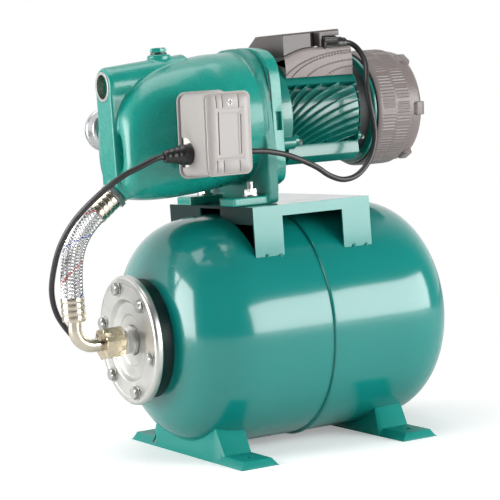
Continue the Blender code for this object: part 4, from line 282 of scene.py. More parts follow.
def joined(surfaces):
    """Several surfaces as one list of points and one list of quads."""
    counts = np.cumsum([0] + [len(s[0]) for s in surfaces])
    return (np.vstack([s[0] for s in surfaces]),
            np.vstack([np.asarray(s[1]) + start for s, start in zip(surfaces, counts)]))


def mirrored(half):
    """An outline from its right half, given from the bottom upwards with its last point on the middle line."""
    half = np.asarray(half, float)
    return np.vstack([half, (half * (-1, 1))[-2::-1]])


# %% [markdown]
# A piece is put into the scene by one function. It joins the surfaces, welds doubled points, turns
# all faces outwards and shades the mesh smooth up to a sharp angle. The piece then rides on a body
# and may stand for some of the frame's own nodes.

# %% Putting pieces in
ROOT = "pump_set"


def clean(mesh, sharp):
    """Weld, drop empty faces, turn faces outwards and mark the sharp edges."""
    bm = bmesh.new()
    bm.from_mesh(mesh)
    bmesh.ops.remove_doubles(bm, verts=bm.verts, dist=2e-6)
    bmesh.ops.dissolve_degenerate(bm, dist=1e-7, edges=bm.edges)
    bmesh.ops.recalc_face_normals(bm, faces=bm.faces)
    bm.to_mesh(mesh)
    bm.free()
    mesh.shade_smooth()
    mesh.set_sharp_from_angle(angle=math.radians(sharp))


def put(name, surfaces, finish, nodes=(), sharp=34, body=ROOT, bevel=0.0):
    """Join surfaces, given in seam coordinates, into one riding piece. Each may carry its own finish."""
    finishes = [finish]
    points, faces, which = [], [], []
    start = 0
    for surface in surfaces:
        own = surface[2] if len(surface) > 2 else finish
        if own not in finishes:
            finishes.append(own)
        points.append(surface[0] + SEAM)
        faces += (np.asarray(surface[1]) + start).tolist()
        which += [finishes.index(own)] * len(surface[1])
        start += len(surface[0])
    mesh = bpy.data.meshes.new(name)
    mesh.from_pydata(np.vstack(points), [], faces)
    mesh.polygons.foreach_set("material_index", which)
    for one in finishes:
        mesh.materials.append(one)
    clean(mesh, sharp)
    thing = bpy.data.objects.new(name, mesh)
    bpy.context.scene.collection.objects.link(thing)
    if bevel:
        soften(thing, bevel)
    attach(thing, body)
    if nodes:
        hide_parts(*nodes)
    return thing


def soften(thing, width, angle=30):
    """A small rounded edge, as paint and mould radii leave on every real edge."""
    modifier = thing.modifiers.new("edge", "BEVEL")
    modifier.width = width
    modifier.segments = 2
    modifier.limit_method = "ANGLE"
    modifier.angle_limit = math.radians(angle)


def dress(node, finish, bevel=0.0008, sharp=40, name=None):
    """A cleaned copy of a frame node with softened edges, standing for the node."""
    source = frame["nodes"][node]
    bm = bmesh.new()
    bm.from_mesh(source.data)
    bmesh.ops.remove_doubles(bm, verts=bm.verts, dist=2e-6)
    bmesh.ops.dissolve_limit(bm, angle_limit=math.radians(0.6), verts=bm.verts, edges=bm.edges)
    mesh = bpy.data.meshes.new(name or node + "_finished")
    bm.to_mesh(mesh)
    bm.free()
    mesh.materials.append(finish)
    mesh.shade_smooth()
    mesh.set_sharp_from_angle(angle=math.radians(sharp))
    thing = bpy.data.objects.new(mesh.name, mesh)
    bpy.context.scene.collection.objects.link(thing)
    if bevel:
        soften(thing, bevel)
    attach(thing, source["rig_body"])
    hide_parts(node)
    return thing


def settle(thing):
    """Apply a piece's modifiers to its own mesh."""
    deps = bpy.context.evaluated_depsgraph_get()
    mesh = bpy.data.meshes.new_from_object(thing.evaluated_get(deps))
    thing.modifiers.clear()
    old, thing.data = thing.data, mesh
    bpy.data.meshes.remove(old)
    return thing


def carve(thing, cutters):
    """Cut closed surfaces out of a piece at once, and keep the result."""
    for number, surface in enumerate(cutters):
        mesh = bpy.data.meshes.new("cutter")
        mesh.from_pydata(surface[0] + SEAM, [], np.asarray(surface[1]).tolist())
        clean(mesh, 30)
        tool = bpy.data.objects.new("cutter", mesh)
        bpy.context.scene.collection.objects.link(tool)
        modifier = thing.modifiers.new("cut%d" % number, "BOOLEAN")
        modifier.operation = "DIFFERENCE"
        modifier.object = tool
        modifier.solver = "EXACT"
        bpy.context.view_layer.update()
        settle(thing)
        bpy.data.objects.remove(tool)
    return thing


# %% [markdown]
# ## Finishes
# Each finish starts from the Principled shader. Real paint, plating and mouldings are never one flat
# tone, so a slow noise drifts the colour and the roughness, and a fine noise raises the surface a few
# hundredths of a millimetre. Object coordinates are the frame's own metres here, so a noise scale of
# 1000 makes marks about a millimetre wide.

# %% Finish helpers


def make_finish(name, colour, roughness, metallic=0.0, drift=0.12, drift_scale=60, grain=0.00003,
                grain_scale=900, spread=0.08, coat=0.0, specular=0.5):
    """A Principled finish with drifting colour, drifting roughness and a fine raised grain.
    """
    material = bpy.data.materials.new(name)
    material.use_nodes = True
    nodes, links = material.node_tree.nodes, material.node_tree.links
    shader = nodes["Principled BSDF"]
    shader.inputs["Metallic"].default_value = metallic
    shader.inputs["Coat Weight"].default_value = coat
    shader.inputs["Coat Roughness"].default_value = 0.08
    shader.inputs["Specular IOR Level"].default_value = specular
    place = nodes.new("ShaderNodeTexCoord")

    slow = nodes.new("ShaderNodeTexNoise")
    slow.inputs["Scale"].default_value = drift_scale
    slow.inputs["Detail"].default_value = 4
    links.new(place.outputs["Object"], slow.inputs["Vector"])
    tone = nodes.new("ShaderNodeMix")
    tone.data_type = "RGBA"
    tone.inputs["A"].default_value = (*[c * (1 - drift) for c in colour], 1)
    tone.inputs["B"].default_value = (*[min(1, c * (1 + drift)) for c in colour], 1)
    links.new(slow.outputs["Fac"], tone.inputs["Factor"])
    links.new(tone.outputs["Result"], shader.inputs["Base Color"])

    sheen = nodes.new("ShaderNodeMapRange")
    sheen.inputs["To Min"].default_value = max(0.02, roughness - spread)
    sheen.inputs["To Max"].default_value = roughness + spread
    links.new(slow.outputs["Fac"], sheen.inputs["Value"])
    links.new(sheen.outputs["Result"], shader.inputs["Roughness"])

    if grain:
        fine = nodes.new("ShaderNodeTexNoise")
        fine.inputs["Scale"].default_value = grain_scale
        fine.inputs["Detail"].default_value = 3
        links.new(place.outputs["Object"], fine.inputs["Vector"])
        bump = nodes.new("ShaderNodeBump")
        bump.inputs["Strength"].default_value = 1.0
        bump.inputs["Distance"].default_value = grain
        links.new(fine.outputs["Fac"], bump.inputs["Height"])
        links.new(bump.outputs["Normal"], shader.inputs["Normal"])
    return material


# %% [markdown]
# The tank, the feet, the bracket and the motor body wear the same bright teal enamel. On the smooth
# steel tank it dries like glass, with a faint orange peel. On the sand-cast pump the same paint sinks
# into the sand grain, so that finish is rougher and raised in coarser grains.

# %% Paints
TANK_PAINT = make_finish("tank_enamel", (0.004, 0.195, 0.172), 0.17, drift=0.05, drift_scale=9,
                         grain=0.000012, grain_scale=420, spread=0.04, coat=0.4)
SHEET_PAINT = make_finish("sheet_enamel", (0.006, 0.210, 0.183), 0.17, drift=0.06, drift_scale=24,
                          grain=0.00002, grain_scale=500, spread=0.06, coat=0.4)
FOOT_PAINT = make_finish("foot_enamel", (0.004, 0.230, 0.195), 0.45, drift=0.06, drift_scale=24,
                         grain=0.00002, grain_scale=500, spread=0.06, specular=0.3)
# Painted shade: a nearly black teal for the tank's neck and the bracket's front faces, which lie in deep shade.
PAINTED_SHADE_ENAMEL = make_finish("painted_shade_enamel", (0.002, 0.020, 0.018), 0.40, drift=0.06, drift_scale=24,
                           grain=0.00002, grain_scale=500, spread=0.06, specular=0.2)
CAST_PAINT = make_finish("cast_enamel", (0.006, 0.250, 0.200), 0.28, drift=0.10, drift_scale=55,
                         grain=0.00016, grain_scale=620, spread=0.10, coat=0.3)
ROUGH_CAST_PAINT = make_finish("rough_cast_enamel", (0.010, 0.190, 0.155), 0.36, drift=0.22,
                               drift_scale=500, grain=0.00045, grain_scale=700, spread=0.12)
MOTOR_PAINT = make_finish("motor_enamel", (0.005, 0.150, 0.122), 0.25, drift=0.08, drift_scale=60,
                          grain=0.00005, grain_scale=650, spread=0.07, coat=0.5)

# %% [markdown]
# Plated and bare metals: galvanised sheet, nickel over brass, bare brass, stainless wire and steel.

# %% Metals
ZINC = make_finish("zinc_plate", (0.50, 0.50, 0.48), 0.36, 1.0, drift=0.10, drift_scale=90,
                   grain=0.00003, grain_scale=800, spread=0.10)
FLANGE_ZINC = make_finish("galvanised_flange", (0.62, 0.62, 0.59), 0.36, 1.0, drift=0.08,
                          drift_scale=45, grain=0.00004, grain_scale=500, spread=0.12)
NICKEL = make_finish("warm_nickel", (0.62, 0.56, 0.46), 0.22, 1.0, drift=0.12, drift_scale=130,
                     grain=0.00003, grain_scale=700, spread=0.08)
BRASS = make_finish("pale_brass", (0.64, 0.555, 0.41), 0.28, 1.0, drift=0.10, drift_scale=120,
                    grain=0.00003, grain_scale=700, spread=0.08)
WIRE = make_finish("braid_wire", (0.60, 0.60, 0.60), 0.24, 1.0, drift=0.25, drift_scale=420,
                   grain=0.00003, grain_scale=1500, spread=0.08)
RED_WIRE = make_finish("red_tracer", (0.45, 0.05, 0.03), 0.35, 0.2, drift=0.2, drift_scale=300)
BLUE_WIRE = make_finish("blue_tracer", (0.03, 0.07, 0.35), 0.35, 0.2, drift=0.2, drift_scale=300)
STEEL = make_finish("bright_steel", (0.50, 0.51, 0.52), 0.30, 1.0, drift=0.08, drift_scale=150)
COPPER = make_finish("varnished_copper", (0.55, 0.24, 0.10), 0.36, 1.0, drift=0.15, drift_scale=200)

# %% [markdown]
# Mouldings: the fan cover and the terminal box are a warm dark grey, the pressure switch a pale warm
# grey, and the cords and glands are black.

# %% Mouldings
COVER_GREY = make_finish("cover_grey", (0.088, 0.076, 0.072), 0.36, drift=0.06, drift_scale=80,
                         grain=0.00005, grain_scale=1500, spread=0.05)
FAN_GREY = make_finish("fan_grey", (0.165, 0.140, 0.134), 0.36, drift=0.06, drift_scale=80,
                       grain=0.00005, grain_scale=1500, spread=0.05)
SADDLE_GREY = make_finish("saddle_grey", (0.185, 0.157, 0.150), 0.42, drift=0.06, drift_scale=80,
                          grain=0.00005, grain_scale=1500, spread=0.05)
SWITCH_GREY = make_finish("switch_grey", (0.345, 0.322, 0.308), 0.40, drift=0.03, drift_scale=50,
                          grain=0.00003, grain_scale=1600, spread=0.04)
BLACK = make_finish("black_moulding", (0.012, 0.011, 0.011), 0.34, drift=0.2, drift_scale=120,
                    grain=0.00003, grain_scale=1200, spread=0.08)
CORD_BLACK = make_finish("cord_black", (0.018, 0.016, 0.016), 0.38, drift=0.15, drift_scale=200,
                         grain=0.00002, grain_scale=1200, spread=0.06)
# Near black: the real dark joints and the rubber under the braid, and painted shade in the terminal box's slot and the
# gap behind the fins.
DARK_AND_PAINTED_SHADE = make_finish("dark_joints_and_painted_shade", (0.010, 0.012, 0.012), 0.6, drift=0.2, drift_scale=60)
CERAMIC = make_finish("ceramic", (0.80, 0.78, 0.72), 0.3, drift=0.03)
LENS_CLEAR = make_finish("window", (0.95, 0.97, 0.97), 0.03, drift=0.0, spread=0.01, grain=0)
LENS_CLEAR.node_tree.nodes["Principled BSDF"].inputs["Transmission Weight"].default_value = 1.0

# %% [markdown]
# ## Cords
# Two black cords leave the pressure switch. The short one comes from the motor's terminal box, hangs
# in one long bow beside the motor and goes into the switch. The mains lead leaves the switch's gland,
# swings over the hose, goes down behind the flange and ends in a small coil and its plug on the floor
# behind the tank. Both are round tubes on a smooth curve through listed points.

# %% Cord routes
MOTOR_CORD_ROUTE = (
    (0.0975, -0.0440, 0.4664), (0.1030, -0.0446, 0.4655), (0.1090, -0.0480, 0.4610),
    (0.1125, -0.0545, 0.4520), (0.1120, -0.0630, 0.4400), (0.1065, -0.0720, 0.4270),
    (0.1010, -0.0795, 0.4130), (0.1000, -0.0860, 0.3900), (0.1018, -0.0882, 0.3720),
    (0.1005, -0.0905, 0.3510), (0.0905, -0.0930, 0.3285), (0.0710, -0.0960, 0.3120),
    (0.0500, -0.0980, 0.3075), (0.0300, -0.0995, 0.3135), (0.0090, -0.1010, 0.3265),
    (-0.0230, -0.1020, 0.3405), (-0.0500, -0.1030, 0.3475), (-0.0700, -0.1035, 0.3495),
    (-0.0893, -0.1035, 0.3500),
)
MAINS_CORD_ROUTE = (
    (-0.1790, -0.0980, 0.3520), (-0.1900, -0.0980, 0.3510), (-0.2060, -0.0930, 0.3440),
    (-0.2260, -0.0800, 0.3330), (-0.2480, -0.0600, 0.3130), (-0.2660, -0.0360, 0.2880),
    (-0.2770, -0.0160, 0.2600), (-0.2800, 0.0020, 0.2300), (-0.2780, 0.0160, 0.2040),
    (-0.2690, 0.0270, 0.1790), (-0.2510, 0.0390, 0.1560), (-0.2290, 0.0580, 0.1400),
    (-0.2030, 0.0830, 0.1330), (-0.1730, 0.1080, 0.1310), (-0.1420, 0.1280, 0.1290),
    (-0.1100, 0.1395, 0.1180), (-0.0820, 0.1440, 0.0930), (-0.0600, 0.1455, 0.0600),
    (-0.0420, 0.1470, 0.0280), (-0.0250, 0.1460, 0.0085), (-0.0060, 0.1390, 0.0036), (0.0113, 0.1310, 0.0036),
)
COIL_X, COIL_Y, COIL_RING = 0.040, 0.165, 0.034
TURN_STEP = 0.0068
COIL_TURNS = 3.25
PLUG_ENTRY = (0.074, 0.1935, 0.013)
CORD_STEP = 0.003


def coil_turns():
    """The coil's line: a circle whose radius and height step to the next lay once a turn.

    The lays are, in order, outer low, inner low, inner high and outer high. Each lay moves to the
    next over its own quarter of the turn, the upper ones first, so that no two meet on the way.
    """
    lays = np.array([(0.5, 0), (-0.5, 0), (-0.5, 1), (0.5, 1)]) * TURN_STEP
    starts = np.array([0.73, 0.50, 0.27, 1.1])
    turn = np.linspace(0.0, COIL_TURNS, round(COIL_TURNS * 12) + 1)[1:]
    lay = np.minimum(turn.astype(int), 3)
    share = np.clip((turn - lay - starts[lay]) / 0.23, 0, 1)
    share = (share * share * (3 - 2 * share))[:, None]
    offset = lays[lay] * (1 - share) + lays[np.minimum(lay + 1, 3)] * share
    angle = 2 * np.pi * turn - np.pi / 2
    radius = COIL_RING + offset[:, 0]
    height = CORD_RADIUS + 0.0003 + offset[:, 1]
    return np.stack([COIL_X + radius * np.cos(angle), COIL_Y + radius * np.sin(angle), height], -1)


def cord(name, nodes, route):
    """A black round cord on a smooth line."""
    line = smooth_route(route, CORD_STEP)
    thing = put(name, [tube(line, CORD_RADIUS, 20)], CORD_BLACK, nodes, sharp=60)
    return thing


mains_route = np.vstack([MAINS_CORD_ROUTE, [(0.0262, 0.1284, 0.0035)], coil_turns(),
                         [(0.0766, 0.1790, 0.0122)], [PLUG_ENTRY]])
cord("motor_lead", ("motor_cord",), np.array(MOTOR_CORD_ROUTE))
cord("mains_lead", ("mains_cord", "mains_cord_coil"), mains_route)

# %% [markdown]
# ## Tank
# The tank is two deep-drawn steel shells with one weld ring between them. A drawn dome is a flattened
# ellipse, nearly square at the shoulder, so a superellipse of power 3.2 gives its outline. The weld
# bead has the small scallops of a robot's weld.

# %% Tank
DOME_POWER = 3.2
FRONT_DOME, REAR_DOME = (0.065, 0.110), (0.085, 0.107)
NECK_RADIUS, NECK_START, NECK_END = 0.069, 0.1715, 0.1861
SEAM_BEAD = 0.0018


def dome(start, depth, radius, to_radius, steps=56):
    """Points of a dome: along = start + depth * sin(t)^(2/p) and radius * cos(t)^(2/p)."""
    last = math.acos((to_radius / radius) ** (DOME_POWER / 2))
    t = last * (0.5 - 0.5 * np.cos(np.pi * np.linspace(0, 1, steps)))
    return np.stack([start + depth * np.sin(t) ** (2 / DOME_POWER),
                     radius * np.cos(t) ** (2 / DOME_POWER)], -1)


def weld_scallops(along, turn):
    """A few hundredths of a millimetre of scallop, on the bead alone."""
    on_bead = np.clip(1 - np.abs(along - SEAM_BEAD) / SEAM_BEAD, 0, 1)
    return 0.00022 * on_bead * np.abs(np.sin(turn * 115))


def tank_surface():
    """Both shells and the bead as one turned skin."""
    front = dome(*FRONT_DOME, TANK_RADIUS, NECK_RADIUS) * (-1, 1)
    rear = dome(*REAR_DOME, TANK_RADIUS, 0.0001)
    angle = np.linspace(0, np.pi, 9)
    bead = np.stack([SEAM_BEAD * (1 - np.cos(angle)), TANK_RADIUS - 0.0004 + 1.5 * SEAM_BEAD * np.sin(angle)], -1)
    cylinder = [(x, TANK_RADIUS) for x in (-0.05, -0.03, -0.01)], [(x, TANK_RADIUS) for x in (0.012, 0.03, 0.06)]
    profile = np.vstack([[(-NECK_END, 0)], [(-NECK_END, NECK_RADIUS)], [(-NECK_END + 0.004, NECK_RADIUS)],
                         front[::-1], cylinder[0], bead, cylinder[1], rear, [(rear[-1, 0], 0)]])
    return lathe(profile, TANK_CENTRE, X_AXIS, 232, ease=0, ripple=weld_scallops)


tank = put("tank", [tank_surface()], TANK_PAINT, ("tank_front_shell", "tank_rear_shell"),
           sharp=28)
# The neck behind the flange gets painted shade: the nearly black teal.
tank.data.materials.append(PAINTED_SHADE_ENAMEL)
for face in tank.data.polygons:
    if face.center.x < SEAM_X - NECK_START:
        face.material_index = 1

# %% [markdown]
# The flange is a zinc-plated pressing: a flat outer ring for six hex screws, a dish, and a raised
# middle where the nipple comes through.

# %% Flange, screws and nipple
FLANGE_FACE, FLANGE_BACK = 0.1964, 0.1864
FLANGE_RADIUS = 0.075
BOLT_CIRCLE = 0.061
flange_profile = [(FLANGE_BACK, 0.0170), (FLANGE_BACK, FLANGE_RADIUS - 0.002),
                  (FLANGE_BACK + 0.0015, FLANGE_RADIUS), (FLANGE_FACE - 0.0025, FLANGE_RADIUS),
                  (FLANGE_FACE, FLANGE_RADIUS - 0.0025), (FLANGE_FACE, 0.0665), (FLANGE_FACE - 0.0006, 0.0660),
                  (FLANGE_FACE - 0.0002, 0.0480), (FLANGE_FACE - 0.0050, 0.0438), (FLANGE_FACE - 0.0052, 0.0305),
                  (FLANGE_FACE - 0.0064, 0.0288), (FLANGE_FACE - 0.0070, 0.0200), (FLANGE_FACE - 0.0075, 0.0170)]
put("flange", [lathe(flange_profile, TANK_CENTRE, -X_AXIS, 160, 0.0012, closed=True)], FLANGE_ZINC,
    ("tank_flange",))
for i in range(6):
    angle = 2 * math.pi * (i + 0.25) / 6
    spot = TANK_CENTRE + Vector((0, math.cos(angle), math.sin(angle))) * BOLT_CIRCLE
    head = nut(spot, -X_AXIS, 0.0075, FLANGE_FACE + 0.0012, FLANGE_FACE + 0.0056, start=0.4 * i)
    washer = lathe([(FLANGE_FACE - 0.001, 0), (FLANGE_FACE - 0.001, 0.0086), (FLANGE_FACE + 0.0012, 0.0086),
                    (FLANGE_FACE + 0.0012, 0)], spot, -X_AXIS, 48, 0.0004)
    put("flange_screw_%d" % (i + 1), [head, washer], ZINC, ("flange_bolt_%d" % (i + 1),))
nipple = [(FLANGE_BACK + 0.001, 0.0), (FLANGE_BACK + 0.001, 0.0166), (0.1935, 0.0166), (0.1945, 0.0158), (0.2000, 0.0158),
          (0.2010, 0.0166), (0.2042, 0.0166), (0.2042, 0.0134), (0.2160, 0.0134), (0.2160, 0.0)]
put("nipple", [lathe(nipple, TANK_CENTRE, -X_AXIS, 72, 0.0005)], ZINC, ("tank_nipple",))

# %% [markdown]
# The air valve sits in the middle of the rear dome, under a black cap that pulls straight off. The cap
# has the knurled grip of a tyre valve's cap.

# %% Air valve and its cap
TIP = 0.192
valve = [(TIP - 0.012, 0.0), (TIP - 0.012, 0.006), (TIP + 0.0005, 0.006), (TIP + 0.0005, 0.0087),
         (TIP + 0.003, 0.0087), (TIP + 0.003, 0.0039), (TIP + 0.016, 0.0039), (TIP + 0.016, 0.0)]
put("valve_stem", [lathe(valve, TANK_CENTRE, X_AXIS, 48, 0.0003)], BRASS, ("air_valve",))
cap_low, cap_high = TIP + 0.0033, TIP + 0.0213
cap = [(cap_low, 0.0042), (cap_low, 0.0104), (cap_low + 0.001, 0.0108), (cap_high - 0.003, 0.0106),
       (cap_high, 0.0080), (cap_high, 0.0), (cap_high - 0.002, 0.0), (cap_high - 0.002, 0.0042)]


def cap_knurl(along, turn):
    """Twenty-four grip waves on the cap's middle."""
    return 0.0003 * np.sin(turn * 24) * (along > cap_low + 0.002) * (along < cap_high - 0.004)


put("valve_cap", [lathe(cap, TANK_CENTRE, X_AXIS, 192, 0.0004, ripple=cap_knurl)], BLACK,
    ("air_valve_cap",), body="air_cap")

# %% [markdown]
# ## Feet and bracket
# The two feet and the pump bracket are folded from sheet, so the frame's own shapes are kept and only
# their folds are rounded. The bracket's front faces get painted shade, a nearly black teal.

# %% Feet and bracket
for node in ("tank_foot_front", "tank_foot_rear"):
    dress(node, FOOT_PAINT, bevel=0.0014, name=node + "_pressing")
bracket = dress("pump_bracket", SHEET_PAINT, bevel=0.0008, name="bracket_pressing")
# Painted shade: the bracket's faces that look forward get the nearly black teal.
bracket.data.materials.append(PAINTED_SHADE_ENAMEL)
for face in bracket.data.polygons:
    if face.normal.x < -0.9 and face.center.x < SEAM_X:
        face.material_index = 1
BEAD_SPOTS = ((-0.0619, 0.2305), (-0.0443, 0.2293), (0.0543, 0.2306), (0.0709, 0.2301))
for number, (x, z) in enumerate(BEAD_SPOTS):
    line = [(-0.0024, 0), (-0.0018, 0.0016), (0, 0.0022), (0.0018, 0.0016), (0.0024, 0)]
    put("leg_weld_%d" % (number + 1), [lathe(line, (x, -0.1030, z), X_AXIS, 24, 0)], SHEET_PAINT)

# %% [markdown]
# ## Pump casing
# The pump body is one sand casting: a bell that narrows towards a dished front, an upright spine down
# the middle of the front, the suction duct and its port, a filler boss and a bolted flange. In a
# casting every inner corner is a fillet. So the parts are made as plain overlapping shapes, fused by a
# fine voxel remesh, and the result is smoothed, which rounds inner and outer corners together.

# %% Casing shapes
BELL = np.array([
    (-0.1975, 0.004, -0.061, 0.030, 2.4), (-0.1955, 0.014, -0.071, 0.039, 2.5),
    (-0.1900, 0.026, -0.079, 0.0455, 2.6), (-0.1790, 0.040, -0.084, 0.051, 2.7),
    (-0.1620, 0.0535, -0.0862, 0.057, 2.7), (-0.1400, 0.0630, -0.0865, 0.0625, 2.6),
    (-0.1100, 0.0705, -0.0850, 0.0668, 2.4), (-0.0880, 0.0738, -0.0828, 0.0682, 2.3),
    (-0.0700, 0.0758, -0.0805, 0.0732, 2.15), (-0.0330, 0.0770, -0.0770, 0.0770, 2.0)])
BELL_DISH = ((0.45, 0.028), (0.70, 0.024), (0.84, 0.013), (0.93, 0.001))
BRACKET_TOP = 0.2864
SPINE_FRONT, SPINE_BACK, SPINE_HALF = -0.203, -0.100, 0.0195
PORT_Z = 0.433
HOSE_ANGLE = math.radians(37.2)
HOSE_SEAT = Vector((-0.1965, 0, 0.3115))
TILT = Vector((-math.cos(HOSE_ANGLE), 0, -math.sin(HOSE_ANGLE)))


def superellipse(top, bottom, half, power, count=120, shrink=1.0):
    """An upright ring: y = half * |cos|^(2/p), z = middle + half height * |sin|^(2/p)."""
    angle = np.linspace(0, 2 * np.pi, count, endpoint=False)
    c, s = np.cos(angle), np.sin(angle)
    y = half * shrink * np.sign(c) * np.abs(c) ** (2 / power)
    z = (top + bottom) / 2 + (top - bottom) / 2 * shrink * np.sign(s) * np.abs(s) ** (2 / power)
    return y, SHAFT_Z + z


def bell():
    """The bell: superellipse rings through the measured sections, eased between them."""
    rows = smooth_route(BELL, 0.004)
    rings = []
    for shrink, back in BELL_DISH:
        y, z = superellipse(*BELL[0, 1:], shrink=shrink)
        rings.append(np.stack([y * 0 + BELL[0, 0] + back, y, z], -1))
    for x, *section in rows:
        y, z = superellipse(*section)
        rings.append(np.stack([y * 0 + x, y, z], -1))
    return loft(rings)


FLANGE_HALF = [(0.0729, 0.2867), (0.0755, 0.315), (0.0764, 0.337), (0.0745, 0.365), (0.0716, 0.391),
               (0.0685, 0.417), (0.0616, 0.4405), (0.048, 0.4565), (0.023, 0.4665), (0.0, 0.4675)]
PLATE_HALF = [(0.050, 0.306), (0.066, 0.313), (0.070, 0.325), (0.0705, 0.380), (0.070, 0.425),
              (0.0675, 0.440), (0.062, 0.452), (0.048, 0.4615), (0.025, 0.4665), (0.0, 0.468)]


def smooth_outline(half):
    """A flange's rounded square: the mirrored half with its corners eased."""
    return eased(mirrored(half), 0.006, 4, closed=True)


def rod(radius, low, high, origin, direction, segments=64):
    """A closed turned rod between two distances along a line."""
    return lathe([(low, 0), (low, radius), (high, radius), (high, 0)], origin, direction, segments, 0)


def casing_shapes():
    """Every shape of the casting, each one closed, overlapping its neighbours."""
    shapes = [bell()]
    shapes.append(loft(prism(smooth_outline(FLANGE_HALF), -0.038, -0.0246, "X")))
    for near, far in ((-0.0715, -0.036), (0.036, 0.0715)):
        shapes.append(block((-0.083, -0.036), (near, far), (BRACKET_TOP + 0.0003, 0.2967)))
    run = math.tan(HOSE_ANGLE)
    chin = HOSE_SEAT.z + (HOSE_SEAT.x - SPINE_FRONT) / run
    heel = HOSE_SEAT.x + (HOSE_SEAT.z - 0.304) * run
    spine = [(SPINE_FRONT, chin), (heel, 0.304), (SPINE_BACK, 0.334), (SPINE_BACK, PORT_Z), (SPINE_FRONT, PORT_Z)]
    shapes.append(loft(prism(spine, -SPINE_HALF, SPINE_HALF, "Y")))
    duct = []
    angle = np.linspace(0, 2 * np.pi, 72, endpoint=False)
    for share in (0, 0.03, 0.25, 0.5, 0.75, 1.0):
        radius = 0.0215 - (0.002 if share == 0 else 0) + 0.0035 * share
        x = SPINE_FRONT + share * (SPINE_BACK - SPINE_FRONT)
        duct.append(np.stack([angle * 0 + x, radius * np.cos(angle),
                              PORT_Z + 0.007 * share + radius * np.sin(angle)], -1))
    shapes.append(loft(duct))
    shapes.append(rod(0.0145, -0.0308, -0.0008, HOSE_SEAT, TILT))
    shapes.append(rod(0.0135, 0, 0.024, on_shaft(-0.129, 0, 0.055), Z_AXIS))
    shapes.append(rod(0.0215, 0, 0.036, on_shaft(-0.095, 0.05, 0.020), Y_AXIS))
    shapes.append(rod(0.0105, 0, 0.025, on_shaft(-0.163, 0.035, -0.004), Y_AXIS))
    shapes.append(rod(0.0118, 0, 0.020, on_shaft(-0.119, -0.045, -0.014), -Y_AXIS))
    return shapes


VOXEL = 0.0014
casing = put("casing", casing_shapes(), CAST_PAINT, ("pump_casing",))
fuse = casing.modifiers.new("fuse", "REMESH")
fuse.mode = "VOXEL"
fuse.voxel_size = VOXEL
round_off = casing.modifiers.new("round", "SMOOTH")
round_off.iterations = 6
round_off.factor = 0.5
settle(casing)
port = Vector((SPINE_FRONT, 0, PORT_Z))
carve(casing, [rod(0.0175, -0.003, 0.0073, port, X_AXIS, 96), rod(0.0138, 0, 0.060, port, X_AXIS, 96),
               rod(0.0138, -0.02, 0.04, on_shaft(-0.095, 0.05, 0.020), Y_AXIS, 64)])
casing.data.shade_smooth()
casing.data.set_sharp_from_angle(angle=math.radians(42))
casing.data.materials.append(ROUGH_CAST_PAINT)
centres = np.empty(len(casing.data.polygons) * 3)
casing.data.polygons.foreach_get("center", centres)
on_flange = centres.reshape(-1, 3)[:, 0] > SEAM_X - 0.0395
casing.data.polygons.foreach_set("material_index", on_flange.astype(int))
print("casing faces", len(casing.data.polygons))

# %% [markdown]
# The suction port has a threaded steel insert. Behind it a brass flap closes against its seat.

# %% Port insert, flap, filler plug
insert = [(-0.001, 0.0138), (-0.001, 0.0168), (-0.0005, 0.0172), (0.007, 0.0172), (0.007, 0.0138)]
put("port_insert", [lathe(insert, port, X_AXIS, 120, 0.0003, closed=True)], ZINC,
    ("suction_port_ring",))
filler = Vector((-0.129, 0, 0.466))
put("filler_hex", [nut(filler, Z_AXIS, 0.0098, 0.0021, 0.0076, chamfer=0.0014, start=0.3),
                   rod(0.008, -0.012, 0.0025, filler, Z_AXIS)],
    CAST_PAINT, ("filler_plug",), body="filler_plug")

# %% [markdown]
# ## Motor
# The motor's body is an aluminium extrusion turned at both ends, or a die casting as here: thin fins
# leave the barrel and sweep up to the rear. Each fin is a strip with a round tip whose foot follows a
# quarter ellipse laid on the barrel.

# %% Motor housing
BARREL, FIN_CIRCLE = 0.0562, 0.0585
HOUSING_LOW, HOUSING_HIGH, FIN_END = 0.0033, 0.112, 0.1035
FIN_HEIGHT, FIN_HALF = 0.0081, 0.0010
FIN_PITCH, FIN_TOP = 0.0093, 0.0665
BAND_EDGE = 0.54


def fin(level, side, steps=90):
    """One fin: foot angle = (level - 0.044 * (1 - sqrt(1 - u^2)) - 0.024 * u) / fin circle.

    u runs from 0 at the rear to 0.93 at the front, so the fin is steep in front and eases to the rear.
    """
    x = np.linspace(0.0045, FIN_END, steps)
    u = (FIN_END - x) / (FIN_END - 0.0045) * 0.93
    angle = (level - 0.044 * (1 - np.sqrt(1 - u * u)) - 0.024 * u) / FIN_CIRCLE
    keep = (angle > -0.68) & (angle < BAND_EDGE + 0.12)
    x, angle = x[keep], angle[keep]
    if len(x) < 6:
        return None
    along = np.concatenate([[0], np.cumsum(np.hypot(np.diff(x), np.diff(angle) * BARREL))])
    ends = np.minimum(along, along[-1] - along) / 0.0015
    height = FIN_HEIGHT * np.sqrt(np.clip(1 - (1 - np.clip(ends, 0, 1)) ** 2, 0, 1))
    section = [(-0.45, -1.25), (0.05, -1.0), (0.70, -0.78), (0.93, -0.55), (1.0, 0.0),
               (0.93, 0.55), (0.70, 0.78), (0.05, 1.0), (-0.45, 1.25)]
    slope = np.arctan2(np.gradient(angle) * BARREL, np.gradient(x))
    rings = []
    for k in range(len(x)):
        ring = []
        for up, across in section:
            radius = BARREL + (up * height[k] if up > 0 else up * 0.002)
            turn = angle[k] + across * FIN_HALF * math.cos(slope[k]) / BARREL
            station = x[k] - across * FIN_HALF * math.sin(slope[k])
            ring.append(on_shaft(station, side * radius * math.cos(turn), radius * math.sin(turn)))
        rings.append(ring)
    return loft(rings)


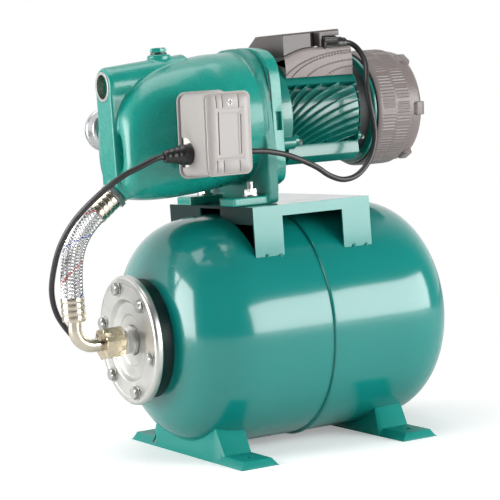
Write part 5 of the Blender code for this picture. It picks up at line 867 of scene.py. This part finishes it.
def top_band():
    """The smooth cover plate over the fins' upper ends, as far as the saddle hides it from above."""
    turn = np.linspace(BAND_EDGE, np.pi - BAND_EDGE, 90)
    outer, inner = BARREL + FIN_HEIGHT + 0.0003, BARREL - 0.002
    loop = [(HOUSING_LOW, outer - 0.001), (HOUSING_LOW + 0.001, outer), (FIN_END - 0.001, outer),
            (FIN_END, outer - 0.001), (FIN_END, inner), (HOUSING_LOW, inner)]
    rows = [[on_shaft(x, -r * math.cos(t), r * math.sin(t)) for x, r in loop] for t in turn]
    return loft(rows)


housing = [lathe([(HOUSING_LOW, 0.05), (HOUSING_LOW, BARREL), (FIN_END, BARREL), (FIN_END + 0.001, BARREL - 0.002),
                  (HOUSING_HIGH, BARREL - 0.002), (HOUSING_HIGH, 0.05)], on_shaft(0), X_AXIS, 192, 0.001, closed=True),
           top_band()]
for side in (-1, 1):
    for i in range(16):
        strip = fin(FIN_TOP - FIN_PITCH * i, side)
        if strip:
            housing.append(strip)
for angle in (210, 330):
    spot = on_shaft(0, 0.0625 * math.cos(math.radians(angle)), 0.0625 * math.sin(math.radians(angle)))
    for low, high, size in ((HOUSING_LOW, 0.0158, 0.0070), (FIN_END - 0.006, FIN_END - 0.001, 0.0052)):
        housing.append(lathe([(low, 0), (low, size), (high, size), (high, 0)], spot, X_AXIS, 40, 0.001))
put("motor_body", housing, MOTOR_PAINT, ("motor_housing",), sharp=40)
ledge = [(-0.0522, 0.3505), (-0.0538, 0.3360), (-0.044, 0.3275), (0.044, 0.3275), (0.0538, 0.3360),
         (0.0522, 0.3505)]
put("motor_ledge", [loft(prism(eased(ledge, 0.0008, 2, closed=True), HOUSING_LOW + 0.001, FIN_END - 0.002, "X"))],
    MOTOR_PAINT, bevel=0.0005, sharp=20)

# %% [markdown]
# The plate in front of the motor has the flange's rounded square, with a dark joint between the two and a
# drain slot on its near edge. Behind the fins a dark ring paints the shade of the gap in front of the shield's bright
# rim.

# %% Motor ends
PLATE_LOW, PLATE_HIGH = -0.0238, -0.0102
plate = put("motor_front", [loft(prism(smooth_outline(PLATE_HALF), PLATE_LOW, PLATE_HIGH, "X"))],
            CAST_PAINT, ("motor_bracket",))
carve(plate, [joined([block((-0.0193, -0.0127), (side * 0.0685 - 0.004, side * 0.0685 + 0.004), (0.370, 0.391))
                      for side in (-1, 1)])])
soften(plate, 0.0012, 35)
drum = [(-0.0112, 0.03), (-0.0112, 0.0660), (0.0070, 0.0650), (0.0070, 0.03)]
ends = [lathe(drum, on_shaft(0), X_AXIS, 160, 0.0012, closed=True)]
for angle in (46, 134, 210, 330):
    circle = 0.0770 if angle < 180 else 0.0665
    spot = on_shaft(0, circle * math.cos(math.radians(angle)), circle * math.sin(math.radians(angle)))
    end = -0.0085 if angle < 180 else 0.0085
    ends.append(lathe([(-0.0112, 0), (-0.0112, 0.0078), (end, 0.0078), (end, 0)], spot, X_AXIS, 40, 0.0008))
put("motor_drum", ends, MOTOR_PAINT)
joint_ring = (smooth_outline(PLATE_HALF) - (0, SHAFT_Z)) * 0.985 + (0, SHAFT_Z)
slit_ring = (smooth_outline(PLATE_HALF) - (0, SHAFT_Z)) * 0.992 + (0, SHAFT_Z)
slit_ring[:, 1] = np.clip(slit_ring[:, 1], 0.345, 0.442)
put("joint", [loft(prism(joint_ring, -0.0255, -0.0230, "X"))], CAST_PAINT)
put("joint_gap", [loft(prism(slit_ring, -0.0250, -0.0235, "X"))], DARK_AND_PAINTED_SHADE)
heads = []
for side in (-1, 1):
    upper = on_shaft(0, side * 0.0535, 0.0554)
    lower = on_shaft(0, side * 0.0576, -0.0333)
    heads.append(nut(upper, X_AXIS, 0.0042, -0.0086, -0.0045))
    heads.append(nut(lower, X_AXIS, 0.0040, 0.0156, 0.0192))
    heads.append(nut(lower, X_AXIS, 0.0030, FIN_END - 0.001, FIN_END + 0.0022))
put("tie_bolts", heads, ZINC)
shield = [(0.1123, 0.02), (0.1123, 0.056), (0.1185, 0.057), (0.1188, 0.0655), (0.1225, 0.0662), (0.1225, 0.02)]
put("motor_rear", [lathe(shield, on_shaft(0), X_AXIS, 160, 0.0010, closed=True)], MOTOR_PAINT,
    ("end_shield",))
# A dark ring over the barrel in the gap behind the fins is painted shade.
gap = [(FIN_END + 0.0005, 0.05), (FIN_END + 0.0005, 0.0572), (0.1186, 0.0572), (0.1186, 0.05)]
put("rear_gap_shade", [lathe(gap, on_shaft(0), X_AXIS, 120, 0.0, closed=True)], DARK_AND_PAINTED_SHADE)

# %% [markdown]
# The fan cover is one moulding. Its front band has fine broken ribs. Past a step its rear ring is smooth
# and carries six lugs, and the air goes in through the slots of its rear face.

# %% Fan cover
COVER_LOW, COVER_HIGH, COVER_RADIUS, COVER_STEP = 0.1240, 0.1880, 0.0695, 0.1705
cover_line = [(COVER_LOW, 0.0655), (COVER_LOW, 0.0680), (COVER_LOW + 0.003, COVER_RADIUS)]
cover_line += [(x, COVER_RADIUS) for x in np.linspace(COVER_LOW + 0.004, COVER_STEP - 0.001, 44)]
cover_line += [(COVER_STEP, COVER_RADIUS - 0.0003), (COVER_STEP + 0.0008, COVER_RADIUS - 0.0026),
               (COVER_HIGH - 0.006, COVER_RADIUS - 0.0030), (COVER_HIGH - 0.002, COVER_RADIUS - 0.0042),
               (COVER_HIGH, COVER_RADIUS - 0.0070), (COVER_HIGH, 0.0445), (COVER_HIGH - 0.0022, 0.0445),
               (COVER_HIGH - 0.0022, 0.0600), (COVER_STEP, 0.0640)]


def cover_ribs(along, turn):
    """Fine axial ribs on the front band: rows 20 mm long, each broken and shifted by a slow wave."""
    place = (along - COVER_LOW - 0.004) / (COVER_STEP - COVER_LOW - 0.006)
    inside = (place > 0) & (place < 1) & (along < COVER_STEP)
    row = np.floor(place * 2)
    broken = np.sin(turn * 17 + row * 2.1) + np.sin(turn * 29 - row * 1.3) > -0.9
    edge = np.abs((place * 2) % 1 - 0.5) < 0.45
    wave = np.clip(2.0 * np.sin(turn * 110 + np.pi * row), -1, 1)
    return 0.00036 * wave * inside * edge * broken


def grille():
    """The rear face inside its ring: a hub disc and sixteen wedges with 3 mm slots between them."""
    low, high = COVER_HIGH - 0.0022, COVER_HIGH
    parts = [lathe([(low, 0), (low, 0.0235), (high, 0.0235), (high, 0)], on_shaft(0), X_AXIS, 96, 0.0004)]
    for k in range(16):
        edge = np.pi * (2 * k + 1) / 16
        half = np.pi / 16
        corners = []
        for radius, way in ((0.0225, -1), (0.0225, 1), (0.0455, 1), (0.0455, -1)):
            corners.append((radius, edge + way * (half - 0.0015 / radius)))
        outline = [(r * math.cos(a), SHAFT_Z + r * math.sin(a)) for r, a in corners]
        parts.append(loft(prism(outline, low, high, "X")))
    return parts


cover = [lathe(cover_line, on_shaft(0), X_AXIS, 720, 0.0, closed=True, ripple=cover_ribs)] + grille()
for k in range(6):
    turn = math.radians(184 + 60 * k)
    rings = []
    for x, inset in ((0.1740, 0.003), (0.1775, 0.0004), (0.1790, 0), (0.1875, 0), (0.1885, 0.001)):
        flat = rounded_box_ring(0.0040 - inset, 0.0080 - inset, 0.0009)
        rings.append([on_shaft(x, (0.0652 + a) * math.cos(turn) - b * math.sin(turn),
                               (0.0652 + a) * math.sin(turn) + b * math.cos(turn)) for a, b in flat])
    cover.append(loft(rings))
put("fan_shroud", cover, FAN_GREY, ("fan_cover",), sharp=50)

# %% [markdown]
# The terminal box stands on a saddle that bridges the barrel. The saddle's side has thin broken grooves
# that follow the fins' curve, and its top climbs behind the front edge, so the joint between the two is
# a rising line. The box has one open slot, and a recess from which the cord's gland points to the rear.

# %% Saddle
GROOVES = ((0.4570, 0.100), (0.4545, 0.088), (0.4455, 0.070), (0.4380, 0.040))
SADDLE_LOW, SADDLE_HIGH, SKIRT_Z = 0.0080, 0.1000, 0.4285


def saddle_top(x):
    """The saddle's top line: a quarter wave up over the first 37 mm, then level."""
    return 0.4535 + 0.0090 * np.sin(np.pi / 2 * np.clip((x - SADDLE_LOW) / 0.037, 0, 1))


def groove_depth(x, z):
    """Narrow grooves along quarter ellipses whose height is 0.42 of their length, broken towards the rear."""
    depth = np.zeros_like(x)
    for high, reach in GROOVES:
        u = np.clip((SADDLE_HIGH - x) / reach, 0, 1)
        line = high - 0.42 * reach * (1 - np.sqrt(1 - u * u))
        dash = np.clip(1.2 + 2.0 * np.sin(x * 2 * np.pi / 0.0042), 0.0, 1) * (x > 0.045) + (x <= 0.045)
        depth += np.exp(-((z - line) / 0.0006) ** 2) * dash * (u < 0.98)
    return 0.0011 * np.minimum(depth, 1)


def saddle():
    """Rows go round the arch and columns go along it on the outside and back on the inside."""
    x = np.linspace(SADDLE_LOW, SADDLE_HIGH, 230)
    top = saddle_top(x)
    rows = 64
    outer = []
    for k in range(rows + 1):
        z = SKIRT_Z + (top - 0.003 - SKIRT_Z) * k / rows
        y = -(0.0520 + 0.0012 * math.sin(math.pi * k / rows)) + groove_depth(x, z)
        outer.append(np.stack([x, y, z], -1))
    for y, drop in ((-0.0512, 0.0008), (-0.0495, 0.0), (0.0495, 0.0), (0.0512, 0.0008)):
        outer.append(np.stack([x, x * 0 + y, top - drop], -1))
    for k in (1.0, 0.75, 0.5, 0.25, 0.0):
        z = SKIRT_Z + (top - 0.003 - SKIRT_Z) * k
        outer.append(np.stack([x, x * 0 + 0.0520 + 0.0012 * math.sin(math.pi * k), z], -1))
    outer = np.array(outer)
    turn = np.linspace(np.pi - 0.6702, 0.6702, len(outer))
    inner = np.stack([np.broadcast_to(x[::-1], (len(outer), len(x))),
                      np.repeat(0.0668 * np.cos(turn)[:, None], len(x), 1),
                      np.repeat(SHAFT_Z + 0.0668 * np.sin(turn)[:, None], len(x), 1)], -1)
    return grid(np.concatenate([outer, inner], axis=1))


put("box_saddle", [saddle()], SADDLE_GREY, ("terminal_saddle",), sharp=50)

# %% Terminal box
BOX_LOW, BOX_HIGH = 0.0080, 0.0860


def box_rings():
    """Cross rings of the lid: upright near side, level top, sloped far side; the top rises to the rear."""
    rings = []
    for x in np.linspace(BOX_LOW, BOX_HIGH, 14):
        foot = float(saddle_top(x)) + 0.0004
        lift = 0.0030 * (x - BOX_LOW) / (BOX_HIGH - BOX_LOW)
        ring = [(-0.0500, foot), (-0.0500, 0.4785 + lift), (-0.0480, 0.4800 + lift), (0.013, 0.4803 + lift),
                (0.0370, 0.4660), (0.0385, foot)]
        rings.append([(x, y, z) for y, z in ring])
    return rings


box = put("box_cover", [loft(box_rings())], COVER_GREY, ("terminal_box",), sharp=35)
carve(box, [joined([block((0.0465, 0.0580), (-0.060, -0.0385), (0.450, 0.500)),
                    block((0.0620, 0.1000), (-0.060, -0.0330), (0.440, 0.4752))])])
soften(box, 0.0011, 35)
# A dark sheet at the back of the slot is painted shade.
put("box_slot_shade", [block((0.0462, 0.0583), (-0.0388, -0.0370), (0.4630, 0.4800))], DARK_AND_PAINTED_SHADE)
put("box_clip", [block((0.0500, 0.0550), (-0.0500, -0.0420), (0.4625, 0.4640))], SWITCH_GREY,
    bevel=0.0004)


def gland_ribs(along, turn):
    """Twenty ribs round the gland's grip."""
    return 0.0005 * np.sin(turn * 20) * (along > 0.003) * (along < 0.021)


gland = [(0.0003, 0.0036), (0.0003, 0.0096), (0.002, 0.0100)]
gland += [(s, 0.0100 - 0.0012 * (s - 0.002) / 0.020) for s in np.linspace(0.003, 0.021, 10)]
gland += [(0.0225, 0.0086), (0.0232, 0.0078), (0.0290, 0.0078), (0.0300, 0.0070), (0.0345, 0.0066),
          (0.0360, 0.0052), (0.0360, 0.0036)]
put("motor_gland", [lathe(gland, (0.0618, -0.044, 0.4660), X_AXIS, 160, 0.0005, closed=True, ripple=gland_ribs)],
    BLACK, ("motor_cable_gland",))

# %% [markdown]
# ## Pressure switch
# A moulded base on a nipple, a deep cover held by one screw, and a rubber gland.

# %% Pressure switch
SWITCH_X, SWITCH_Z = -0.1196, 0.3726
SWITCH_HALF_X, SWITCH_HALF_Z, SWITCH_LEAN = 0.0289, 0.0457, 0.030


def switch_rings(levels, corner=0.008):
    """Cross rings of the switch at (y, inset); the upright sides lean by 30 mm in a metre."""
    rings = []
    for y, inset in levels:
        ring = rounded_box_ring(SWITCH_HALF_X - inset, SWITCH_HALF_Z - inset, max(corner - inset, 0.002), 8)
        rings.append([(SWITCH_X + a + SWITCH_LEAN * b, y, SWITCH_Z + b) for a, b in ring])
    return loft(rings)


def front_line(top, bottom, deep, half=0.0005):
    """A narrow upright cut in the cover's front between two (x, z) ends."""
    ends = [(top[0] - half, top[1]), (top[0] + half, top[1]),
            (bottom[0] + half, bottom[1]), (bottom[0] - half, bottom[1])]
    return loft(prism(ends, -0.1500, -0.1417 + deep, "Y"))


put("switch_back", [switch_rings([(-0.0690, 0.0040), (-0.0762, 0.0040), (-0.0766, -0.0022), (-0.0772, -0.0027),
                                  (-0.0784, -0.0027), (-0.0790, -0.0022)])],
    SWITCH_GREY, ("switch_base",))
put("switch_seam", [switch_rings([(-0.0789, 0.0012), (-0.0806, 0.0012)])], DARK_AND_PAINTED_SHADE)
lid = put("switch_lid", [switch_rings([(-0.0802, 0.0006), (-0.0808, 0), (-0.1362, 0), (-0.1364, 0.0015),
                                       (-0.1385, 0.0020), (-0.1405, 0.0045), (-0.1414, 0.0075), (-0.1417, 0.0110)])],
          SWITCH_GREY, ("switch_cover",))
notch_turn = np.linspace(np.pi / 2, 3 * np.pi / 2, 24)
notch = [(-0.0885 + 0.0166 * math.cos(a), 0.3541 + 0.0166 * math.sin(a)) for a in notch_turn]
notch = [(-0.0700, 0.3707)] + notch + [(-0.0700, 0.3375)]
carve(lid, [switch_rings([(-0.0780, 0.0026), (-0.1385, 0.0070)]), loft(prism(notch, -0.1600, -0.1440, "X"))])
UPPER_LINES = ((-0.1348, -0.1348, 0.4012), (-0.1272, -0.1274, 0.4012), (-0.1070, -0.1072, 0.4000))
LOWER_LINES = ((-0.1383, -0.1386, 0.3440), (-0.1302, -0.1305, 0.3440), (-0.1103, -0.1106, 0.3430))
lines = [front_line((above, 0.425), (below, z), 0.0022) for above, below, z in UPPER_LINES]
lines += [front_line((above, z), (below, 0.320), 0.0022) for above, below, z in LOWER_LINES]
lines += [front_line((-0.1330, 0.3966), (-0.1350, 0.3500), 0.0016, 0.0007),
         front_line((-0.1054, 0.3930), (-0.1078, 0.3500), 0.0016, 0.0006)]
carve(lid, [joined(lines)])
bands = [loft(prism([(-0.1362, 0.4004), (-0.1010, 0.3992), (-0.1010, 0.3998), (-0.1362, 0.4010)], -0.15, -0.1411, "Y")),
         loft(prism([(-0.1380, 0.3450), (-0.1040, 0.3440), (-0.1040, 0.3446), (-0.1380, 0.3456)], -0.15, -0.1411, "Y")),
         loft(prism([(-0.1308, 0.3945), (-0.1088, 0.3935), (-0.1106, 0.3490), (-0.1328, 0.3498)], -0.15, -0.1414, "Y"))]
carve(lid, [joined(bands)])
soften(lid, 0.0004, 40)
put("switch_plate", [block((-0.1466, -0.1452), (-0.1060, -0.0800), (0.3360, 0.3722))], CERAMIC)
screw_at = Vector((-0.1180, -0.1417, 0.4065))
screw = put("switch_screw", [lathe([(-0.0006, 0), (-0.0004, 0.0030), (0.0006, 0.0042), (0.004, 0.0042), (0.004, 0)],
                                   screw_at, Y_AXIS, 48, 0)], ZINC, ("switch_cover_screw",))
cross = [block((screw_at.x - a, screw_at.x + a), (-0.1450, -0.1412), (screw_at.z - b, screw_at.z + b))
         for a, b in ((0.0006, 0.0030), (0.0030, 0.0006))]
carve(screw, cross)
gland = [(0.0003, 0.0036), (0.0003, 0.0125), (0.0035, 0.0125), (0.0035, 0.0115), (0.014, 0.0115), (0.016, 0.0098),
         (0.020, 0.0098), (0.0215, 0.0086), (0.0265, 0.0086), (0.0285, 0.0072), (0.0325, 0.0072), (0.0355, 0.0060),
         (0.0355, 0.0036)]
put("switch_gland", [lathe(gland, (-0.1457, -0.098, 0.352), -X_AXIS, 96, 0.0016, closed=True)], BLACK,
    ("switch_cable_gland",))

# %% [markdown]
# ## Gauge
# The gauge looks to the far side. Its dial has plain ticks and figures only.

# %% Gauge
gauge_at = Vector((-0.163, 0, 0.383))
case = [(0.046, 0), (0.046, 0.0065), (0.066, 0.0065), (0.066, 0.0215), (0.069, 0.0245), (0.084, 0.0245),
        (0.085, 0.0255), (0.090, 0.0255), (0.090, 0.0230), (0.083, 0.0235), (0.083, 0.0)]
put("gauge_body", [lathe(case, gauge_at, Y_AXIS, 96, 0.0008)], STEEL, ("gauge_case",))

# %% [markdown]
# ## Hose
# A union nut on the tank's nipple holds a bent nickel pipe. A crimped ferrule joins it to a rubber hose
# with a stainless braid, whose other ferrule screws into the pump.

# %% Hose fittings
put("union", [nut(TANK_CENTRE, -X_AXIS, 0.0196, 0.2045, 0.2290, bore=0.0080, start=math.radians(12), chamfer=0.002)],
    BRASS, ("union_nut",))
put("port_nut", [nut(HOSE_SEAT, TILT, 0.0165, 0.0003, 0.0075, bore=0.007, chamfer=0.0016)], ZINC,
    ("hose_port_nut",))
LEG_X, BEND = -0.260, 0.021
bend = [(LEG_X, 0, 0.190), (LEG_X, 0, 0.180), (LEG_X, 0, 0.171)]
bend += [(LEG_X + BEND * (1 - math.cos(t)), 0, TANK_Z + BEND * (1 - math.sin(t))) for t in np.linspace(0, math.pi / 2, 25)]
bend += [(-0.235, 0, TANK_Z), (-0.2195, 0, TANK_Z)]
put("elbow", [tube(bend, 0.0077, 48)], NICKEL, ("elbow_pipe",))
sleeve = [(0, 0.0080), (0, 0.0126), (0.001, 0.0136), (0.006, 0.0136), (0.0066, 0.0130), (0.0080, 0.0130),
          (0.0086, 0.0136), (0.0130, 0.0136), (0.0136, 0.0130), (0.0150, 0.0130), (0.0156, 0.0136),
          (0.0200, 0.0136), (0.0206, 0.0130), (0.0220, 0.0130), (0.0226, 0.0136), (0.027, 0.0136), (0.027, 0.0125)]
upper_at = HOSE_SEAT + TILT * 0.0078
lower_at = Vector((LEG_X, 0, 0.172))
put("top_ferrule", [lathe(sleeve, upper_at, TILT, 96, 0.0004)], NICKEL, ("upper_ferrule",))
put("bottom_ferrule", [lathe(sleeve, lower_at, Z_AXIS, 96, 0.0004)], NICKEL, ("lower_ferrule",))

# %% [markdown]
# The braid is woven: twenty ribbons of four wires run each way round the hose, and each passes over
# two and under two of the others. Its radius is a wave along the ribbon, plus a small crest per wire.

# %% Hose braid
HOSE_RADIUS = 0.0122
RIBBONS = 20
mouth_high, mouth_low = upper_at + TILT * 0.0255, lower_at + Z_AXIS * 0.0255
reach = (mouth_low - mouth_high).length
t = np.linspace(0, 1, 121)[:, None]
corners = [np.array(v) for v in (mouth_high, mouth_high + TILT * reach * 0.42,
                                 mouth_low + Z_AXIS * reach * 0.42, mouth_low)]
hose_line = (corners[0] * (1 - t) ** 3 + corners[1] * 3 * t * (1 - t) ** 2 + corners[2] * 3 * t * t * (1 - t)
             + corners[3] * t ** 3)
hose_length = float(np.linalg.norm(np.diff(hose_line, axis=0), axis=1).sum())
hose_side, hose_up = path_frames(hose_line)
hose_turns = hose_length / (2 * math.pi * HOSE_RADIUS)


def on_hose(share, turn, radius):
    """A point on the bent hose, from its share of the length, its angle and its radius."""
    index = share * (len(hose_line) - 1)
    low = np.minimum(index.astype(int), len(hose_line) - 2)
    mix = (index - low)[..., None]
    place, side, up = [a[low] * (1 - mix) + a[low + 1] * mix for a in (hose_line, hose_side, hose_up)]
    return place + radius[..., None] * (np.cos(turn)[..., None] * side + np.sin(turn)[..., None] * up)


def ribbon(number, hand):
    """One ribbon: angle = its start + hand * turns * share; radius waves over two and under two."""
    share, across = np.meshgrid(np.linspace(0, 1, 190), np.linspace(-1, 1, 9), indexing="ij")
    middle = 2 * np.pi * number / RIBBONS + hand * 2 * np.pi * hose_turns * share
    phase = np.pi * (RIBBONS * hose_turns * share + number + (hand < 0))
    wave = np.clip(1.6 * np.sin(phase), -1, 1)
    crest = np.abs(np.cos(across * np.pi * 2))
    radius = HOSE_RADIUS + 0.00022 * wave + 0.00022 * crest - 0.00012 * across ** 2
    turn = middle + across * (np.pi / RIBBONS) * 0.93
    return grid(on_hose(share, turn, radius), wrap_cols=False)


braid = []
for number in range(RIBBONS):
    for hand in (-1, 1):
        strip = ribbon(number, hand)
        if hand > 0 and number in (4, 14):
            strip = (*strip, RED_WIRE if number == 4 else BLUE_WIRE)
        braid.append(strip)
braid.append((*tube(hose_line, HOSE_RADIUS - 0.0006, 40), DARK_AND_PAINTED_SHADE))
put("hose_braid", braid, WIRE, ("braided_hose",), sharp=60)

# %% [markdown]
# Two studs with washers and nuts hold the pump's foot to the bracket.

# %% Foot bolts
for name, side in (("foot_bolt_near", -1), ("foot_bolt_far", 1)):
    dress(name, ZINC, bevel=0.0003, name=name + "_set")
dress("mains_plug", BLACK, bevel=0.0012, name="plug")

# %% [markdown]
# ## Inner pieces
# What stays inside keeps the frame's shapes and gets its finish.

# %% Inner pieces
INNER = {"bladder": BLACK, "non_return_flap": BRASS, "filler_washer": BLACK, "casing_o_ring": BLACK,
         "impeller": BRASS, "diffuser": BLACK, "ejector": BLACK, "shaft_seal": CERAMIC, "motor_shaft": STEEL,
         "rotor": STEEL, "front_bearing": STEEL, "rear_bearing": STEEL, "stator": COPPER, "fan": BLACK,
         "run_capacitor": SWITCH_GREY, "contact_lever": BRASS, "gauge_needle": BLACK, "gauge_lens": LENS_CLEAR}
for node, finish in INNER.items():
    piece = frame["nodes"][node]
    piece.data.materials.clear()
    piece.data.materials.append(finish)

# %% [markdown]
# ## Light
# The set stands on a white sweep in even studio light: a large soft box at the right and one at the
# left, a weaker one above and a faint one by the camera, which nothing mirrors. The camera sees plain white behind, which the metal and the window see too.

# %% Light and floor


def soft_box(name, place, width, height, energy, target=(0, 0, 0.25), mirrored_in_gloss=True):
    """A rectangular area lamp turned to a point, its width level."""
    data = bpy.data.lights.new(name, "AREA")
    data.shape, data.size, data.size_y, data.energy = "RECTANGLE", width, height, energy
    lamp = bpy.data.objects.new(name, data)
    lamp.visible_glossy = mirrored_in_gloss
    aim = (Vector(target) - Vector(place)).to_track_quat("-Z", "Y").to_matrix().to_4x4()
    lamp.matrix_world = Matrix.Translation(place) @ aim
    bpy.context.scene.collection.objects.link(lamp)


def studio_world(fill, dark_side):
    """White for the camera. Gloss and glass see white behind the set and the dim room before it."""
    world = bpy.data.worlds.new("studio")
    bpy.context.scene.world = world
    world.use_nodes = True
    nodes, links = world.node_tree.nodes, world.node_tree.links
    dim = nodes["Background"]
    dim.inputs["Color"].default_value = (1, 1, 1, 1)
    dim.inputs["Strength"].default_value = fill
    where = nodes.new("ShaderNodeTexCoord")
    part = nodes.new("ShaderNodeSeparateXYZ")
    links.new(where.outputs["Generated"], part.inputs["Vector"])
    room = nodes.new("ShaderNodeMapRange")
    room.interpolation_type = "SMOOTHSTEP"
    room.inputs["From Min"].default_value = -0.30
    room.inputs["From Max"].default_value = 0.45
    room.inputs["To Min"].default_value = dark_side
    room.inputs["To Max"].default_value = 1.0
    links.new(part.outputs["Y"], room.inputs["Value"])
    seen = nodes.new("ShaderNodeBackground")
    seen.inputs["Color"].default_value = (1, 1, 1, 1)
    links.new(room.outputs["Result"], seen.inputs["Strength"])
    white = nodes.new("ShaderNodeBackground")
    white.inputs["Color"].default_value = (1, 1, 1, 1)
    white.inputs["Strength"].default_value = 1.0
    ray = nodes.new("ShaderNodeLightPath")
    mirror = nodes.new("ShaderNodeMath")
    mirror.operation = "MAXIMUM"
    links.new(ray.outputs["Is Glossy Ray"], mirror.inputs[0])
    links.new(ray.outputs["Is Transmission Ray"], mirror.inputs[1])
    in_gloss = nodes.new("ShaderNodeMixShader")
    links.new(mirror.outputs["Value"], in_gloss.inputs["Fac"])
    links.new(dim.outputs["Background"], in_gloss.inputs[1])
    links.new(seen.outputs["Background"], in_gloss.inputs[2])
    in_view = nodes.new("ShaderNodeMixShader")
    links.new(ray.outputs["Is Camera Ray"], in_view.inputs["Fac"])
    links.new(in_gloss.outputs["Shader"], in_view.inputs[1])
    links.new(white.outputs["Background"], in_view.inputs[2])
    links.new(in_view.outputs["Shader"], nodes["World Output"].inputs["Surface"])


def paper_floor(lift):
    """White paper that keeps the set's shadow: diffuse, plus a little white light towards the camera.

    Past about a metre it fades to the plain white of the background, so no horizon shows.
    """
    paper = make_finish("paper", (0.90, 0.90, 0.90), 0.9, drift=0.01, drift_scale=3, grain=0, specular=0.1)
    nodes, links = paper.node_tree.nodes, paper.node_tree.links
    ray = nodes.new("ShaderNodeLightPath")
    first = nodes.new("ShaderNodeMath")
    first.operation = "MAXIMUM"
    links.new(ray.outputs["Is Camera Ray"], first.inputs[0])
    links.new(ray.outputs["Is Transmission Ray"], first.inputs[1])
    glow = nodes.new("ShaderNodeEmission")
    glow.inputs["Color"].default_value = (lift, lift, lift, 1)
    links.new(first.outputs["Value"], glow.inputs["Strength"])
    both = nodes.new("ShaderNodeAddShader")
    links.new(nodes["Principled BSDF"].outputs["BSDF"], both.inputs[0])
    links.new(glow.outputs["Emission"], both.inputs[1])
    far = nodes.new("ShaderNodeEmission")
    far.inputs["Color"].default_value = (1, 1, 1, 1)
    far.inputs["Strength"].default_value = 1.0
    place = nodes.new("ShaderNodeTexCoord")
    away = nodes.new("ShaderNodeVectorMath")
    away.operation = "LENGTH"
    links.new(place.outputs["Object"], away.inputs[0])
    fade = nodes.new("ShaderNodeMapRange")
    fade.interpolation_type = "SMOOTHSTEP"
    fade.inputs["From Min"].default_value = 0.45
    fade.inputs["From Max"].default_value = 1.10
    links.new(away.outputs["Value"], fade.inputs["Value"])
    out_there = nodes.new("ShaderNodeMath")
    out_there.operation = "MULTIPLY"
    links.new(fade.outputs["Result"], out_there.inputs[0])
    links.new(first.outputs["Value"], out_there.inputs[1])
    mix = nodes.new("ShaderNodeMixShader")
    links.new(out_there.outputs["Value"], mix.inputs["Fac"])
    links.new(both.outputs["Shader"], mix.inputs[1])
    links.new(far.outputs["Emission"], mix.inputs[2])
    links.new(mix.outputs["Shader"], nodes["Material Output"].inputs["Surface"])
    return paper


def floor_sheet():
    """A wide flat sheet of the paper."""
    size = 12.0
    u, v = np.meshgrid(np.linspace(-size, size, 3), np.linspace(-size, size, 3), indexing="ij")
    mesh = bpy.data.meshes.new("floor")
    flat, quads = grid(np.stack([u, v, u * 0], -1), wrap_cols=False)
    mesh.from_pydata(flat, [], quads.tolist())
    mesh.materials.append(paper_floor(0.30))
    clean(mesh, 30)
    sheet = bpy.data.objects.new("floor", mesh)
    bpy.context.scene.collection.objects.link(sheet)


floor_sheet()
studio_world(0.22, 0.10)
soft_box("right_box", (1.395, -1.785, 0.60), 2.2, 1.10, 60)
soft_box("left_box", (-1.91, 0.51, 0.56), 1.3, 1.3, 44)
soft_box("top_box", (-0.2, 0.1, 2.0), 1.4, 1.4, 16)
soft_box("camera_box", (-1.2, -2.2, 1.0), 0.8, 0.8, 8, mirrored_in_gloss=False)
